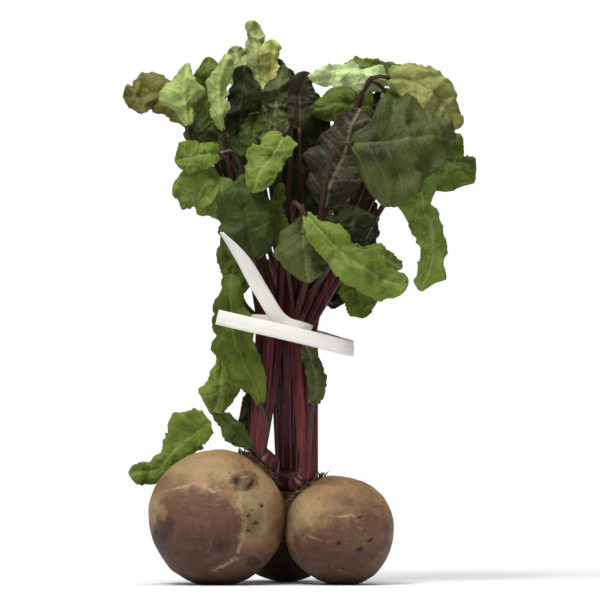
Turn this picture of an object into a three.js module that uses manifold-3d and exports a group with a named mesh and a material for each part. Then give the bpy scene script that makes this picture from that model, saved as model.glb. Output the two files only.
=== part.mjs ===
// A bunch of three beetroots with their leaves, held by one flat tie and standing on its roots.
// Millimetres, +Z up, seen from -Y. The origin is on the surface, under the middle of the bunch.
import * as THREE from 'three';
import { mergeVertices } from 'three/addons/utils/BufferGeometryUtils.js';
import Module from 'manifold-3d';

const wasm = await Module();
wasm.setup();

// Driving dimensions.
const MIDDLE = [10.15, 17.46, 0]; // of the bunch's footprint, in the layout that the numbers below use
const FLAT_DEPTH = 0.8; // how much of each root the resting spot takes off
const TIE_HEIGHT = 153;
const TIE_AXIS = [2, 12]; // where the bundle of stalks passes through the tie
const STALK_ROWS = [1, 3, 4]; // how many stalks of a root lie in each row inside the tie, inner row first
const STALK_PITCH = 5.8; // between neighbours in a row
const INNER_ROW = 5; // from the bundle's middle
const ROW_PITCH = 4.6;
const STALK_RADIUS = { crown: 3.5, tie: 2.5, blade: 1.5 };
const STRAP_WIDTH = 9;
const STRAP_THICKNESS = 0.6;
const WIRE_RIDGE = 0.7; // height of the ridge over the wire, from the strap's middle
const BLADE_THICKNESS = 0.8;
const RIB_HEIGHT = { base: 1.6, tip: 0.2 }; // how far the midrib stands out under the blade
const CRUMPLE = 1.3; // how far blades buckle in and out
const GAP = 0.4; // between pieces that meet

// Facets.
const BLADE_FACETS = { narrow: { rows: 6, columns: 4 }, wide: { rows: 6, columns: 6 } };
const WIDE_BLADE = 30; // a blade at least this wide takes the finer facets
const STALK_FACETS = { whole: { steps: 6, sides: 5 }, parted: { steps: 3, sides: 4 } };
const ROOT_SIDES = 20;
const ROOT_RINGS = 10;
const STRAP_STEPS = 36;

// Each root: the middle of its globe over the surface, its radius, the way its crown points, which
// third of the bundle its stalks take, in degrees from +X, and the phase of its lumps.
const ROOTS = {
  left: { at: [-40, 0], radius: 40.8, lean: [28, 8, 33], sector: 205, lumps: 0.4 },
  right: { at: [34, 0], radius: 33, lean: [-21, 6, 27], sector: 325, lumps: 2.1 },
  back: { at: [1, 60], radius: 32, lean: [1, -17, 30], sector: 85, lumps: 4.4 },
};

// Each leaf: the root it grows from, the midrib from the blade's base to its tip, the way its upper
// face looks at the base and at the tip, the half widths of its two sides at even steps from base to
// tip, how far each side curls towards the upper face, in radians, the height, number and phase of
// the waves along its edge, and the points that its stalk passes, if any, on its way.
// A face that looks along +Y turns the pale underside to the front.
const FRONT = [0, -1, 0];
const BEHIND = [0, 1, 0];
const LEAVES = {
  leaf_left_tip: {
    root: 'left', rib: [[-54, 20, 279], [-66, 22, 290], [-78, 20, 299], [-88, 16, 296], [-96, 11, 295]],
    face: [[-0.2, -1, 0.3], [-0.3, -1, 0.2]], half: [[4, 9, 10, 10, 11, 6], [5, 10, 14, 12, 9, 8]],
    curl: [-0.6, -0.4], wave: [2.4, 2.5, 0.3], via: [[-24, 20, 222]],
  },
  leaf_left_pale: {
    root: 'left', rib: [[-57, -7, 275], [-59, -12, 287], [-59, -12, 299], [-57, -9, 313]],
    face: [BEHIND, BEHIND], half: [[2, 6, 10, 12, 7, 4], [3, 9, 15, 15, 11, 4]],
    curl: [0.8, 0.6], wave: [1.4, 2, 0.6],
  },
  leaf_left_dark: {
    root: 'left', rib: [[-41, 7, 256], [-45, 6, 272], [-46, 6, 290], [-45, 4, 318]],
    face: [FRONT, FRONT], half: [[10, 16, 14, 9, 9, 9, 4], [5, 8, 8, 7, 8, 11, 6]],
    curl: [-0.5, -0.5], wave: [2, 2.5, 0.1],
  },
  leaf_left_middle: {
    root: 'left', rib: [[-35, -1, 256], [-44, -1, 267], [-52, 0, 279]],
    face: [FRONT, FRONT], half: [[5, 10, 12, 9, 4], [5, 10, 12, 10, 4]],
    curl: [-0.5, -0.5], wave: [1.6, 2, 0.4],
  },
  leaf_left_fold: {
    root: 'left', rib: [[-36, -10, 272], [-38, -16, 286], [-38, -17, 300], [-33, -15, 317]],
    face: [BEHIND, BEHIND], half: [[2, 4, 8, 9, 7, 5], [2, 5, 9, 9, 7, 5]],
    curl: [0.9, 0.9], wave: [1.2, 2, 0.2],
  },
  leaf_left_small: {
    root: 'left', rib: [[-37, -17, 257], [-47, -22, 256], [-56, -24, 254], [-65, -23, 253]],
    face: [[-0.3, -1, 0], [-0.3, -1, 0]], half: [[3, 7, 9, 9, 5], [3, 8, 10, 11, 6]],
    curl: [-0.4, -0.4], wave: [1.6, 2.5, 0.7],
  },
  leaf_left_low: {
    root: 'left', rib: [[-31, -10, 213], [-40, -15, 226], [-50, -17, 233], [-58, -16, 236], [-66, -14, 238]],
    face: [[-0.3, -1, 0], [-0.4, -1, 0]], half: [[5, 8, 10, 12, 12, 7], [7, 15, 18, 17, 14, 7]],
    curl: [-0.5, -0.5], wave: [2, 2.5, 0.4],
  },
  leaf_centre_narrow: {
    root: 'left', rib: [[-22, 3, 239], [-22, 2, 254], [-19, 1, 269], [-15, 1, 284]],
    face: [FRONT, FRONT], half: [[3, 8, 9, 8, 4], [3, 8, 8, 6, 3]],
    curl: [-0.4, -0.4], wave: [1.4, 2, 0.3],
  },
  leaf_front_bright: {
    root: 'left', rib: [[1, -22, 268], [-5, -31, 257], [-12, -36, 246], [-18, -38, 232]],
    face: [[0, -1, 0.4], [0, -1, 0.1]], half: [[8, 10, 10, 9, 4], [13, 11, 12, 11, 5]],
    curl: [-0.5, -0.5], wave: [1.6, 2.5, 0.9],
  },
  leaf_front_oval: {
    root: 'left', rib: [[-17, -18, 193], [-20, -26, 209], [-22, -28, 223], [-25, -25, 244]],
    face: [FRONT, FRONT], half: [[8, 13, 16, 17, 16, 12, 5], [10, 16, 18, 18, 16, 12, 5]],
    curl: [-0.6, -0.6], wave: [1.5, 2.5, 0.2],
  },
  leaf_tie_behind: {
    root: 'left', rib: [[-26, 3, 176], [-30, 2, 187], [-33, 1, 197], [-36, 0, 210]],
    face: [FRONT, FRONT], half: [[3, 6, 7, 6, 3], [4, 7, 8, 8, 3]],
    curl: [-0.4, -0.4], wave: [1.6, 2.5, 0.4],
  },
  leaf_tie_left: {
    root: 'left', rib: [[-13, -5, 107], [-20, -8, 125], [-28, -11, 141], [-31, -11, 160], [-31, -8, 186]],
    face: [[-0.3, -1, 0], [-0.2, -1, 0]], half: [[3, 8, 11, 12, 14, 11, 4], [3, 8, 10, 11, 12, 9, 4]],
    curl: [-0.5, -0.5], wave: [2, 3.5, 0.5],
  },
  leaf_crown_left: {
    root: 'left', rib: [[-19, -1, 81], [-27, -3, 89], [-34, -5, 96], [-42, -6, 103]],
    face: [FRONT, FRONT], half: [[2, 5, 6, 5, 2], [2, 5, 6, 5, 2]],
    curl: [-0.5, -0.5], wave: [1, 2, 0.3],
  },
  leaf_stem_left: {
    root: 'left', rib: [[-20, 18, 87], [-21, 19, 98], [-20, 18, 110], [-17, 18, 123]],
    face: [FRONT, FRONT], half: [[3, 5, 5, 4, 2], [3, 5, 5, 4, 2]],
    curl: [-0.3, -0.3], wave: [1, 2, 0.1],
  },
  leaf_droop_upper: {
    root: 'left', rib: [[-36, 4, 142], [-37, 6, 127], [-38, 8, 115], [-42, 10, 101]],
    face: [FRONT, FRONT], half: [[3, 5, 8, 12, 12, 8, 4], [5, 5, 7, 10, 12, 9, 5]],
    curl: [-0.5, -0.5], wave: [2, 2.5, 0.1], via: [[-15, 4, 130], [-25, 3, 150]],
  },
  leaf_droop_lower: {
    root: null, rib: [[-44, 12, 97], [-55, 22, 90], [-66, 29, 80], [-77, 33, 69], [-94, 31, 66]],
    face: [[-0.2, -1, 0.2], [-0.3, -1, 0]], half: [[5, 10, 10, 9, 8, 8, 5], [8, 14, 18, 11, 8, 7, 5]],
    curl: [-0.4, -0.4], wave: [1.8, 3, 0.8],
  },
  leaf_front_crinkled: {
    root: 'right', rib: [[12, -30, 218], [12, -38, 206], [13, -43, 193], [16, -44, 178]],
    face: [FRONT, FRONT], half: [[6, 13, 17, 17, 14, 5], [5, 14, 18, 18, 12, 4]],
    curl: [-0.5, -0.6], wave: [1.8, 3, 0.3],
  },
  leaf_front_slim: {
    root: 'right', rib: [[0, -12, 203], [-3, -18, 215], [-4, -20, 226], [0, -16, 239]],
    face: [[0.2, -1, 0], [0.2, -1, 0]], half: [[3, 5, 5, 4, 2], [3, 5, 5, 4, 2]],
    curl: [-0.3, -0.3], wave: [1, 2, 0.5],
  },
  leaf_shade_right: {
    root: 'right', rib: [[31, -24, 195], [37, -28, 205], [41, -28, 215], [44, -26, 226]],
    face: [FRONT, FRONT], half: [[4, 13, 16, 16, 13, 5], [5, 14, 12, 11, 12, 5]],
    curl: [-0.4, -0.4], wave: [1.8, 3, 0.5],
  },
  leaf_front_long: {
    root: 'right', rib: [[13, -46, 219], [25, -53, 205], [40, -56, 191], [56, -55, 181], [72, -50, 175]],
    face: [[0, -1, 0.1], [0.1, -1, 0.1]], half: [[3, 8, 11, 12, 11, 6], [3, 8, 11, 13, 13, 7]],
    curl: [-0.8, -0.4], wave: [1.4, 2.5, 0.6], via: [[6, -24, 222]],
  },
  leaf_front_second: {
    root: 'right', rib: [[36, -33, 202], [47, -38, 197], [59, -38, 193], [71, -34, 187]],
    face: [[0, -1, 0.2], [0.1, -1, 0.1]], half: [[2, 4, 6, 7, 3], [2, 5, 7, 7, 3]],
    curl: [-0.5, -0.5], wave: [1.2, 2, 0.2],
  },
  leaf_front_droop: {
    root: 'right', rib: [[38, -24, 190], [43, -29, 179], [46, -30, 169], [48, -29, 158]],
    face: [FRONT, FRONT], half: [[6, 10, 10, 9, 4], [5, 9, 11, 9, 4]],
    curl: [-0.4, -0.4], wave: [1.4, 2, 0.2],
  },
  leaf_right_low: {
    root: 'right', rib: [[18, 28, 173], [24, 29, 177], [32, 29, 176], [40, 28, 172]],
    face: [FRONT, FRONT], half: [[5, 10, 11, 10, 4], [5, 9, 10, 9, 4]],
    curl: [-0.3, -0.3], wave: [1.6, 2, 0.5],
  },
  leaf_right_big: {
    root: 'right', rib: [[40, -54, 259], [56, -61, 260], [72, -61, 261], [88, -54, 263], [103, -45, 262]],
    face: [[-0.1, -1, 0.2], [0.3, -1, 0.2]], half: [[5, 20, 27, 29, 27, 19, 6], [7, 32, 38, 33, 25, 16, 5]],
    curl: [-0.6, -0.5], wave: [2.4, 3, 0.4],
  },
  leaf_right_dry: {
    root: 'right', rib: [[25, -20, 224], [30, -26, 242], [37, -29, 260], [45, -26, 284]],
    face: [[-0.3, -1, 0], [-0.3, -1, 0.2]], half: [[6, 15, 20, 21, 18, 9], [6, 13, 17, 17, 14, 8]],
    curl: [-0.5, -0.4], wave: [2, 3.5, 0.7],
  },
  leaf_right_yellow: {
    root: 'right', rib: [[62, -20, 302], [75, -24, 301], [88, -26, 295], [98, -23, 284], [102, -18, 271]],
    face: [[0.1, -1, 0.2], [0.4, -1, 0.2]], half: [[6, 12, 13, 13, 13, 9], [6, 12, 13, 13, 12, 7]],
    curl: [-0.5, -0.5], wave: [2, 3, 0.2],
  },
  leaf_right_pale: {
    root: 'right', rib: [[63, -4, 302], [47, -16, 305], [32, -21, 305], [15, -22, 303]],
    face: [BEHIND, BEHIND], half: [[7, 8, 8, 8, 5, 3], [7, 12, 10, 8, 9, 4]],
    curl: [0.6, 0.4], wave: [1.6, 3, 0.5],
  },
  leaf_right_top: {
    root: 'right', rib: [[76, 4, 306], [58, 6, 309], [41, 6, 310], [25, 5, 307]],
    face: [[0, -1, 0.5], [0, -1, 0.5]], half: [[7, 8, 7, 6, 4, 3], [8, 9, 9, 9, 6, 3]],
    curl: [-0.4, -0.4], wave: [1.2, 2, 0.1],
  },
  leaf_right_roof: {
    root: 'right', rib: [[55, 7, 288], [45, 5, 289], [32, 3, 289], [14, 1, 284]],
    face: [[0, -1, 0.3], [0, -1, 0.3]], half: [[8, 14, 15, 13, 10, 4], [7, 11, 12, 12, 9, 5]],
    curl: [-0.4, -0.4], wave: [1.6, 2, 0.9],
  },
  leaf_right_far: {
    root: 'right', rib: [[87, 4, 261], [95, 5, 257], [104, 2, 251], [115, -2, 242]],
    face: [[0.5, -1, 0], [0.5, -1, 0]], half: [[9, 18, 20, 14, 10, 6], [9, 21, 23, 21, 15, 7]],
    curl: [-0.5, -0.5], wave: [2, 2.5, 0.3],
  },
  leaf_right_hanging: {
    root: 'right', rib: [[82, -25, 247], [83, -30, 227], [88, -31, 209], [89, -30, 193], [82, -26, 174]],
    face: [[0.3, -1, 0], [0.3, -1, 0]], half: [[8, 10, 8, 10, 9, 8, 4], [11, 15, 13, 11, 8, 8, 5]],
    curl: [-0.5, -0.5], wave: [1.8, 3.5, 0.1],
  },
  leaf_right_fold: {
    root: 'right', rib: [[60, -13, 296], [69, -14, 289], [78, -14, 281], [88, -12, 270]],
    face: [[0.1, -1, 0.2], [0.2, -1, 0]], half: [[3, 8, 9, 8, 4], [3, 9, 10, 9, 4]],
    curl: [-0.4, -0.4], wave: [1.4, 2.5, 0.6],
  },
  leaf_stem_right: {
    root: 'right', rib: [[18, -10, 107], [20, -13, 120], [17, -15, 133], [13, -16, 144]],
    face: [[0.3, -1, 0], [0.3, -1, 0]], half: [[3, 5, 5, 5, 3], [4, 6, 7, 6, 3]],
    curl: [-0.3, -0.3], wave: [1, 2, 0.4],
  },
  leaf_top_tall: {
    root: 'back', rib: [[-12, 24, 276], [-15, 23, 300], [-17, 21, 322], [-20, 18, 342]],
    face: [BEHIND, BEHIND], half: [[3, 5, 7, 7, 7, 6], [3, 5, 7, 7, 6, 5]],
    curl: [0.5, 0.5], wave: [1.8, 3, 0.2],
  },
  leaf_top_yellow: {
    root: 'back', rib: [[-8, 19, 283], [-9, 18, 300], [-8, 17, 314], [-7, 16, 330]],
    face: [FRONT, FRONT], half: [[3, 4, 5, 6, 6, 5], [3, 5, 6, 5, 5, 6]],
    curl: [-0.5, -0.5], wave: [1.4, 2, 0.8],
  },
  leaf_top_left: {
    root: 'back', rib: [[-20, 34, 280], [-24, 33, 300], [-27, 32, 314], [-30, 30, 328]],
    face: [BEHIND, BEHIND], half: [[3, 5, 7, 8, 8, 8, 7], [3, 5, 7, 8, 8, 8, 8]],
    curl: [0.5, 0.5], wave: [1.6, 2, 0.5],
  },
  leaf_top_brown: {
    root: 'back', rib: [[2, 2, 268], [-2, -1, 284], [-3, -1, 297], [0, 1, 313]],
    face: [FRONT, FRONT], half: [[4, 7, 10, 9, 6, 3], [4, 8, 9, 9, 7, 3]],
    curl: [-0.6, -0.6], wave: [1.8, 2.5, 0.6], via: [[0, 7, 208]],
  },
  leaf_top_purple: {
    root: 'back', rib: [[10, -9, 272], [10, -10, 286], [11, -10, 296], [15, -9, 307]],
    face: [FRONT, FRONT], half: [[3, 7, 9, 8, 4], [3, 7, 9, 7, 4]],
    curl: [-0.5, -0.5], wave: [1.6, 2.5, 0.4],
  },
  leaf_centre_olive: {
    root: 'back', rib: [[-2, -6, 249], [-4, -8, 263], [-5, -8, 276], [-4, -7, 290]],
    face: [FRONT, FRONT], half: [[3, 9, 10, 8, 4], [3, 7, 8, 7, 4]],
    curl: [-0.5, -0.5], wave: [1.4, 2, 0.7],
  },
  leaf_shade_left: {
    root: 'left', rib: [[-24, 14, 236], [-26, 12, 260], [-26, 14, 284], [-23, 16, 314]],
    face: [FRONT, FRONT], half: [[4, 11, 13, 14, 12, 9, 5], [4, 10, 13, 15, 14, 11, 6]],
    curl: [-0.4, -0.4], wave: [1.6, 2.5, 0.8],
  },
  leaf_shade_middle: {
    root: 'back', rib: [[10, 13, 215], [12, 10, 243], [13, 9, 270], [14, 11, 300]],
    face: [FRONT, FRONT], half: [[5, 15, 19, 19, 18, 14, 6], [5, 15, 19, 20, 19, 14, 6]],
    curl: [-0.4, -0.4], wave: [1.8, 3, 0.1],
  },
  leaf_shade_far: {
    root: 'back', rib: [[40, 14, 232], [52, 12, 250], [63, 11, 266], [76, 12, 280]],
    face: [[-0.2, -1, 0], [-0.2, -1, 0]], half: [[5, 14, 17, 16, 12, 5], [5, 14, 17, 16, 12, 5]],
    curl: [-0.4, -0.4], wave: [1.8, 3, 0.9],
  },
  leaf_back_left: {
    root: 'back', rib: [[-16, 46, 228], [-30, 58, 262], [-42, 72, 282], [-52, 86, 284]],
    face: [[0.6, -0.6, 0.5], [-0.4, 0.4, 0.9]], half: [[4, 15, 21, 22, 15, 4], [4, 17, 23, 20, 14, 4]],
    curl: [-0.5, -0.5], wave: [2.4, 3, 0.2],
  },
  leaf_back_middle: {
    root: 'back', rib: [[2, 48, 244], [6, 62, 274], [10, 80, 292], [14, 98, 288]],
    face: [[0, -1, 0.3], [0, -0.1, 1]], half: [[4, 17, 22, 20, 15, 4], [4, 15, 20, 22, 14, 5]],
    curl: [-0.5, -0.5], wave: [2.4, 3, 0.6],
  },
  leaf_back_right: {
    root: 'back', rib: [[24, 44, 222], [42, 56, 252], [60, 68, 270], [76, 82, 272]],
    face: [[-0.6, -0.6, 0.5], [0.4, 0.4, 0.9]], half: [[4, 17, 22, 20, 13, 4], [4, 16, 22, 22, 15, 5]],
    curl: [-0.5, -0.5], wave: [2.4, 3, 0.9],
  },
  leaf_back_tall: {
    root: 'back', rib: [[6, 38, 256], [4, 44, 282], [0, 46, 304], [-5, 44, 322]],
    face: [FRONT, [0, -1, 0.2]], half: [[3, 12, 15, 13, 9, 3], [3, 13, 16, 14, 9, 3]],
    curl: [-0.5, -0.5], wave: [2, 3, 0.3],
  },
  leaf_back_top_left: {
    root: 'back', rib: [[-32, 40, 256], [-42, 50, 276], [-48, 60, 290], [-52, 70, 296]],
    face: [[0.4, -0.8, 0.4], [0.2, -0.5, 0.8]], half: [[3, 11, 14, 13, 8, 3], [3, 12, 15, 12, 8, 3]],
    curl: [-0.5, -0.5], wave: [2, 3, 0.8],
  },
  leaf_back_top_right: {
    root: 'back', rib: [[40, 34, 258], [56, 42, 278], [70, 50, 288], [84, 56, 288]],
    face: [[-0.5, -0.8, 0.3], [0, -0.6, 0.8]], half: [[3, 13, 16, 15, 10, 3], [3, 13, 17, 15, 10, 4]],
    curl: [-0.5, -0.5], wave: [2, 3, 0.1],
  },
  leaf_back_low_left: {
    root: 'back', rib: [[-10, 48, 178], [-18, 64, 198], [-24, 78, 198], [-28, 88, 178]],
    face: [[0.3, -0.8, 0.5], [-0.3, 0.7, 0.6]], half: [[3, 12, 15, 15, 10, 3], [3, 11, 15, 16, 11, 3]],
    curl: [-0.5, -0.5], wave: [2, 3, 0.4],
  },
  leaf_back_low_right: {
    root: 'back', rib: [[18, 46, 178], [28, 60, 200], [36, 74, 206], [42, 88, 190]],
    face: [[-0.6, -0.6, 0.5], [0.5, 0.5, 0.6]], half: [[3, 13, 17, 17, 12, 4], [3, 13, 18, 16, 11, 3]],
    curl: [-0.5, -0.5], wave: [2, 3, 0.7],
  },
  leaf_back_low: {
    root: 'back', rib: [[4, 52, 172], [6, 70, 188], [8, 86, 182], [9, 96, 162]],
    face: [[0, -1, 0.3], [0, 0.8, 0.6]], half: [[3, 12, 15, 15, 10, 3], [3, 12, 15, 16, 10, 3]],
    curl: [-0.5, -0.5], wave: [2, 3, 0.1],
  },
  leaf_shade_low: {
    root: 'back', rib: [[33, 24, 190], [40, 24, 206], [46, 24, 220], [52, 24, 236]],
    face: [FRONT, FRONT], half: [[5, 13, 16, 16, 13, 5], [5, 13, 16, 15, 12, 5]],
    curl: [-0.4, -0.4], wave: [1.8, 3, 0.2],
  },
  leaf_shade_roof: {
    root: 'back', rib: [[42, 21, 270], [51, 21, 280], [60, 20, 288], [69, 19, 295]],
    face: [[0, -1, 0.3], [0, -1, 0.3]], half: [[4, 11, 14, 13, 11, 5], [4, 12, 15, 14, 11, 5]],
    curl: [-0.4, -0.4], wave: [1.6, 3, 0.3],
  },
};

// The strap's middle line with the way its width points, from the free end at the left, across the
// front, round the back of the stalks, to the front again, folded back, and up to its other end.
const ACROSS = [0.23, 0, 0.97];
const UPRIGHT = [0, 0, 1];
const RISING = [0.82, 0, 0.57];
const STRAP_ROUTE = [
  { at: [-39, -24, 159], width: ACROSS },
  { at: [-20, -26, 154.5], width: ACROSS },
  { at: [0, -27, 150], width: ACROSS },
  { at: [21, -26, 145], width: ACROSS },
  { at: [37, -21, 141], width: ACROSS },
  { at: [42, -8, 141], width: UPRIGHT },
  { at: [35, 12, 144], width: UPRIGHT },
  { at: [21, 29, 149], width: UPRIGHT },
  { at: [1, 36, 153], width: UPRIGHT },
  { at: [-17, 28, 156], width: UPRIGHT },
  { at: [-22, 12, 157], width: UPRIGHT },
  { at: [-16, -5, 157], width: UPRIGHT },
  { at: [0, -12, 155], width: UPRIGHT },
  { at: [12, -13, 152], width: UPRIGHT },
  { at: [16, -16.5, 150], width: [0.4, 0, 0.9] },
  { at: [11, -20, 151], width: [0.7, 0, 0.7] },
  { at: [-1, -20, 157], width: RISING },
  { at: [-12, -26, 173], width: RISING },
  { at: [-24, -35, 193], width: [0.6, -0.6, 0.4] },
  { at: [-36, -40, 208], width: [0.1, -1, 0.1] },
];

const COLOURS = {
  skin: { color: 0x8a6a4c, roughness: 0.7 },
  stalk: { color: 0x5a1526, roughness: 0.4 },
  leaf: { color: 0x3c5a22, roughness: 0.5 },
  strap: { color: 0xf1eeea, roughness: 0.5 },
};

const vector = (numbers) => new THREE.Vector3(...numbers);
const mix = (from, to, share) => from + (to - from) * share;

// A closed geometry as a solid. Facets that merging has made into a line are left out.
function solidOf(geometry) {
  const bare = geometry.clone();
  bare.deleteAttribute('normal');
  bare.deleteAttribute('uv');
  const merged = mergeVertices(bare, 1e-4);
  const corners = merged.index.array;
  const kept = [];
  for (let i = 0; i < corners.length; i += 3) {
    const [a, b, c] = corners.slice(i, i + 3);
    if (a !== b && b !== c && c !== a) kept.push(a, b, c);
  }
  const vertProperties = merged.attributes.position.array;
  return new wasm.Manifold(new wasm.Mesh({ numProp: 3, vertProperties, triVerts: new Uint32Array(kept) }));
}

function geometryOf(solid) {
  const mesh = solid.getMesh();
  const geometry = new THREE.BufferGeometry();
  geometry.setAttribute('position', new THREE.BufferAttribute(new Float32Array(mesh.vertProperties), 3));
  geometry.setIndex(new THREE.BufferAttribute(new Uint32Array(mesh.triVerts), 1));
  geometry.computeVertexNormals();
  return geometry;
}

// Moves each vertex of a geometry to where place(x, y, z) puts it.
function moved(geometry, place) {
  const position = geometry.attributes.position;
  for (let i = 0; i < position.count; i++) {
    const point = place(position.getX(i), position.getY(i), position.getZ(i));
    position.setXYZ(i, point.x, point.y, point.z);
  }
  return geometry;
}

const rootCentre = (root) => new THREE.Vector3(...root.at, root.radius - FLAT_DEPTH);
const rootAxis = (root) => vector(root.lean).normalize();

// Measures of a root as shares of its radius, upwards to its crown, and where its globe starts
// and ends, in radians from the crown.
const TAIL = [[0, -1.03], [0.08, -1.03], [0.13, -0.98]];
const GLOBE = { lowest: 0.94 * Math.PI, highest: 0.12 * Math.PI };
const CROWN_HEIGHT = 1.02;
const CROWN_RADIUS = 0.29;
const LUMPS = { broad: 0.016, narrow: 0.012 };

function crownOf(root) {
  return rootCentre(root).addScaledVector(rootAxis(root), root.radius * CROWN_HEIGHT);
}

// A globe with a trimmed tail below and a flat crown above, its skin in low lumps.
function rootGeometry(root) {
  const { radius, lumps } = root;
  const profile = TAIL.map(([r, h]) => new THREE.Vector2(r, h));
  for (let i = 0; i <= ROOT_RINGS; i++) {
    const turn = mix(GLOBE.lowest, GLOBE.highest, i / ROOT_RINGS);
    profile.push(new THREE.Vector2(Math.sin(turn), Math.cos(turn)));
  }
  profile.push(new THREE.Vector2(CROWN_RADIUS, CROWN_HEIGHT), new THREE.Vector2(0, CROWN_HEIGHT));
  const globe = new THREE.LatheGeometry(profile, ROOT_SIDES);
  const turnUp = new THREE.Quaternion().setFromUnitVectors(new THREE.Vector3(0, 1, 0), rootAxis(root));
  const centre = rootCentre(root);
  moved(globe, (x, y, z) => {
    const broad = LUMPS.broad * Math.sin(3 * x + 2 * z + lumps);
    const narrow = LUMPS.narrow * Math.sin(4 * y - 3 * x + 2 * lumps);
    const calm = 1 - THREE.MathUtils.smoothstep(y, 0.8, 0.95);
    const reach = radius * (1 + (broad + narrow) * calm);
    return new THREE.Vector3(x, y, z).multiplyScalar(reach).applyQuaternion(turnUp).add(centre);
  });
  const below = new THREE.BoxGeometry(4 * radius, 4 * radius, radius).translate(...root.at, -radius / 2);
  let solid = solidOf(globe).subtract(solidOf(below));
  for (const stub of crownStubs(root)) solid = solid.add(stub);
  return geometryOf(solid);
}

// Dry bases of old leaves: short points that stand round the crown and lean out. Where they stand,
// along and out from the root's axis, is in shares of its radius.
const STUBS = { count: 7, length: 5, radius: 1.1, up: 0.9, out: 0.4 };

function crownStubs(root) {
  const axis = rootAxis(root);
  const side = new THREE.Vector3(0, 0, 1).cross(axis).normalize();
  const stubs = [];
  for (let i = 0; i < STUBS.count; i++) {
    const out = side.clone().applyAxisAngle(axis, (i * 2 * Math.PI) / STUBS.count + root.lumps);
    const length = STUBS.length * (0.7 + 0.3 * Math.sin(7 * i + root.lumps));
    const foot = rootCentre(root)
      .addScaledVector(axis, root.radius * STUBS.up)
      .addScaledVector(out, root.radius * STUBS.out);
    const along = axis.clone().addScaledVector(out, 1.1 + 0.3 * Math.sin(5 * i)).normalize();
    const cone = new THREE.ConeGeometry(STUBS.radius, 2 * length, 4);
    const turn = new THREE.Quaternion().setFromUnitVectors(new THREE.Vector3(0, 1, 0), along);
    stubs.push(solidOf(cone.applyQuaternion(turn).translate(foot.x, foot.y, foot.z)));
  }
  return stubs;
}

// The places of a root's stalks inside the tie: rows across its third of the bundle, inner row first.
function bundlePlaces(root) {
  const sector = (root.sector * Math.PI) / 180;
  const out = new THREE.Vector3(Math.cos(sector), Math.sin(sector), 0);
  const across = new THREE.Vector3(-out.y, out.x, 0);
  const places = [];
  STALK_ROWS.forEach((count, row) => {
    for (let i = 0; i < count; i++) {
      const place = new THREE.Vector3(...TIE_AXIS, TIE_HEIGHT)
        .addScaledVector(out, INNER_ROW + ROW_PITCH * row)
        .addScaledVector(across, STALK_PITCH * (i - (count - 1) / 2));
      places.push(place);
    }
  });
  return places;
}

const ribCurve = (leaf) => new THREE.CatmullRomCurve3(leaf.rib.map(vector));

// A stalk leaves the crown, passes through the tie where its leaf sits above it, and meets the
// blade in line with the midrib. Where its place in the tie is taken, it parts from the stalk there.
const CROWN_SPREAD = 0.48; // how far apart stalks start on the crown, as a share of that in the tie
const STALK_START = 4; // over the crown, inside the foot that the stalks share
const LEAD_IN = 9; // the straight end of a stalk, before its blade
const TIE_REACH = 9; // how far below and above the tie a stalk runs upright
const PARTED_SHARE = 0.85; // how thick a stalk is where it parts from another, of that one's radius

function stalkCurve(root, leaf, place, parts) {
  const axis = rootAxis(root);
  const spread = new THREE.Vector3(place.x - TIE_AXIS[0], place.y - TIE_AXIS[1], 0).projectOnPlane(axis);
  const base = vector(leaf.rib[0]);
  const along = ribCurve(leaf).getTangent(0);
  const meets = base.clone().addScaledVector(along, -GAP);
  const before = base.clone().addScaledVector(along, -LEAD_IN);
  const points = [];
  const above = base.z > TIE_HEIGHT + 2 * TIE_REACH;
  if (above && parts) {
    points.push(place);
  } else {
    points.push(crownOf(root).addScaledVector(axis, STALK_START).addScaledVector(spread, CROWN_SPREAD));
    if (above) {
      points.push(place.clone().setZ(TIE_HEIGHT - TIE_REACH));
      points.push(place.clone().setZ(TIE_HEIGHT + TIE_REACH));
    }
  }
  for (const point of leaf.via ?? []) points.push(vector(point));
  points.push(before, meets);
  return new THREE.CatmullRomCurve3(points);
}

function stalkRadius(share) {
  const { crown, tie, blade } = STALK_RADIUS;
  return share < 0.35 ? mix(crown, tie, share / 0.35) : mix(tie, blade, (share - 0.35) / 0.65);
}

// The radius of a stalk that parts from another one in the tie.
function partedRadius(share) {
  return mix(STALK_RADIUS.tie * PARTED_SHARE, STALK_RADIUS.blade, share);
}

// The largest of a solid's surfaces. Stalks that lie together shut small hollows in, which this fills.
function withoutHollows(solid) {
  return solid.decompose().reduce((largest, other) => (other.volume() > largest.volume() ? other : largest));
}

// A round bar of changing radius along a curve.
function barGeometry(curve, { steps, sides }, radiusAt) {
  const frames = curve.computeFrenetFrames(steps, false);
  const bar = new THREE.CylinderGeometry(1, 1, 1, sides, steps);
  return moved(bar, (x, y, z) => {
    const share = y + 0.5;
    const step = Math.round(share * steps);
    return curve
      .getPointAt(share)
      .addScaledVector(frames.normals[step], -x * radiusAt(share))
      .addScaledVector(frames.binormals[step], z * radiusAt(share));
  });
}

// The swollen foot that a root's stalks share, sitting on its crown.
const COLLAR_HEIGHT = 9;
const COLLAR_SIDES = 10;
const COLLAR_PROFILE = [[0, 0], [1, 0], [0.98, 0.4], [0.7, 1], [0, 1]]; // of its radius and height

function collarGeometry(root) {
  const wide = root.radius * CROWN_RADIUS * 0.95;
  const profile = COLLAR_PROFILE.map(([r, h]) => new THREE.Vector2(r * wide, h * COLLAR_HEIGHT));
  const collar = new THREE.LatheGeometry(profile, COLLAR_SIDES);
  const turnUp = new THREE.Quaternion().setFromUnitVectors(new THREE.Vector3(0, 1, 0), rootAxis(root));
  const foot = crownOf(root).addScaledVector(rootAxis(root), GAP);
  return collar.applyQuaternion(turnUp).translate(foot.x, foot.y, foot.z);
}

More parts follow.
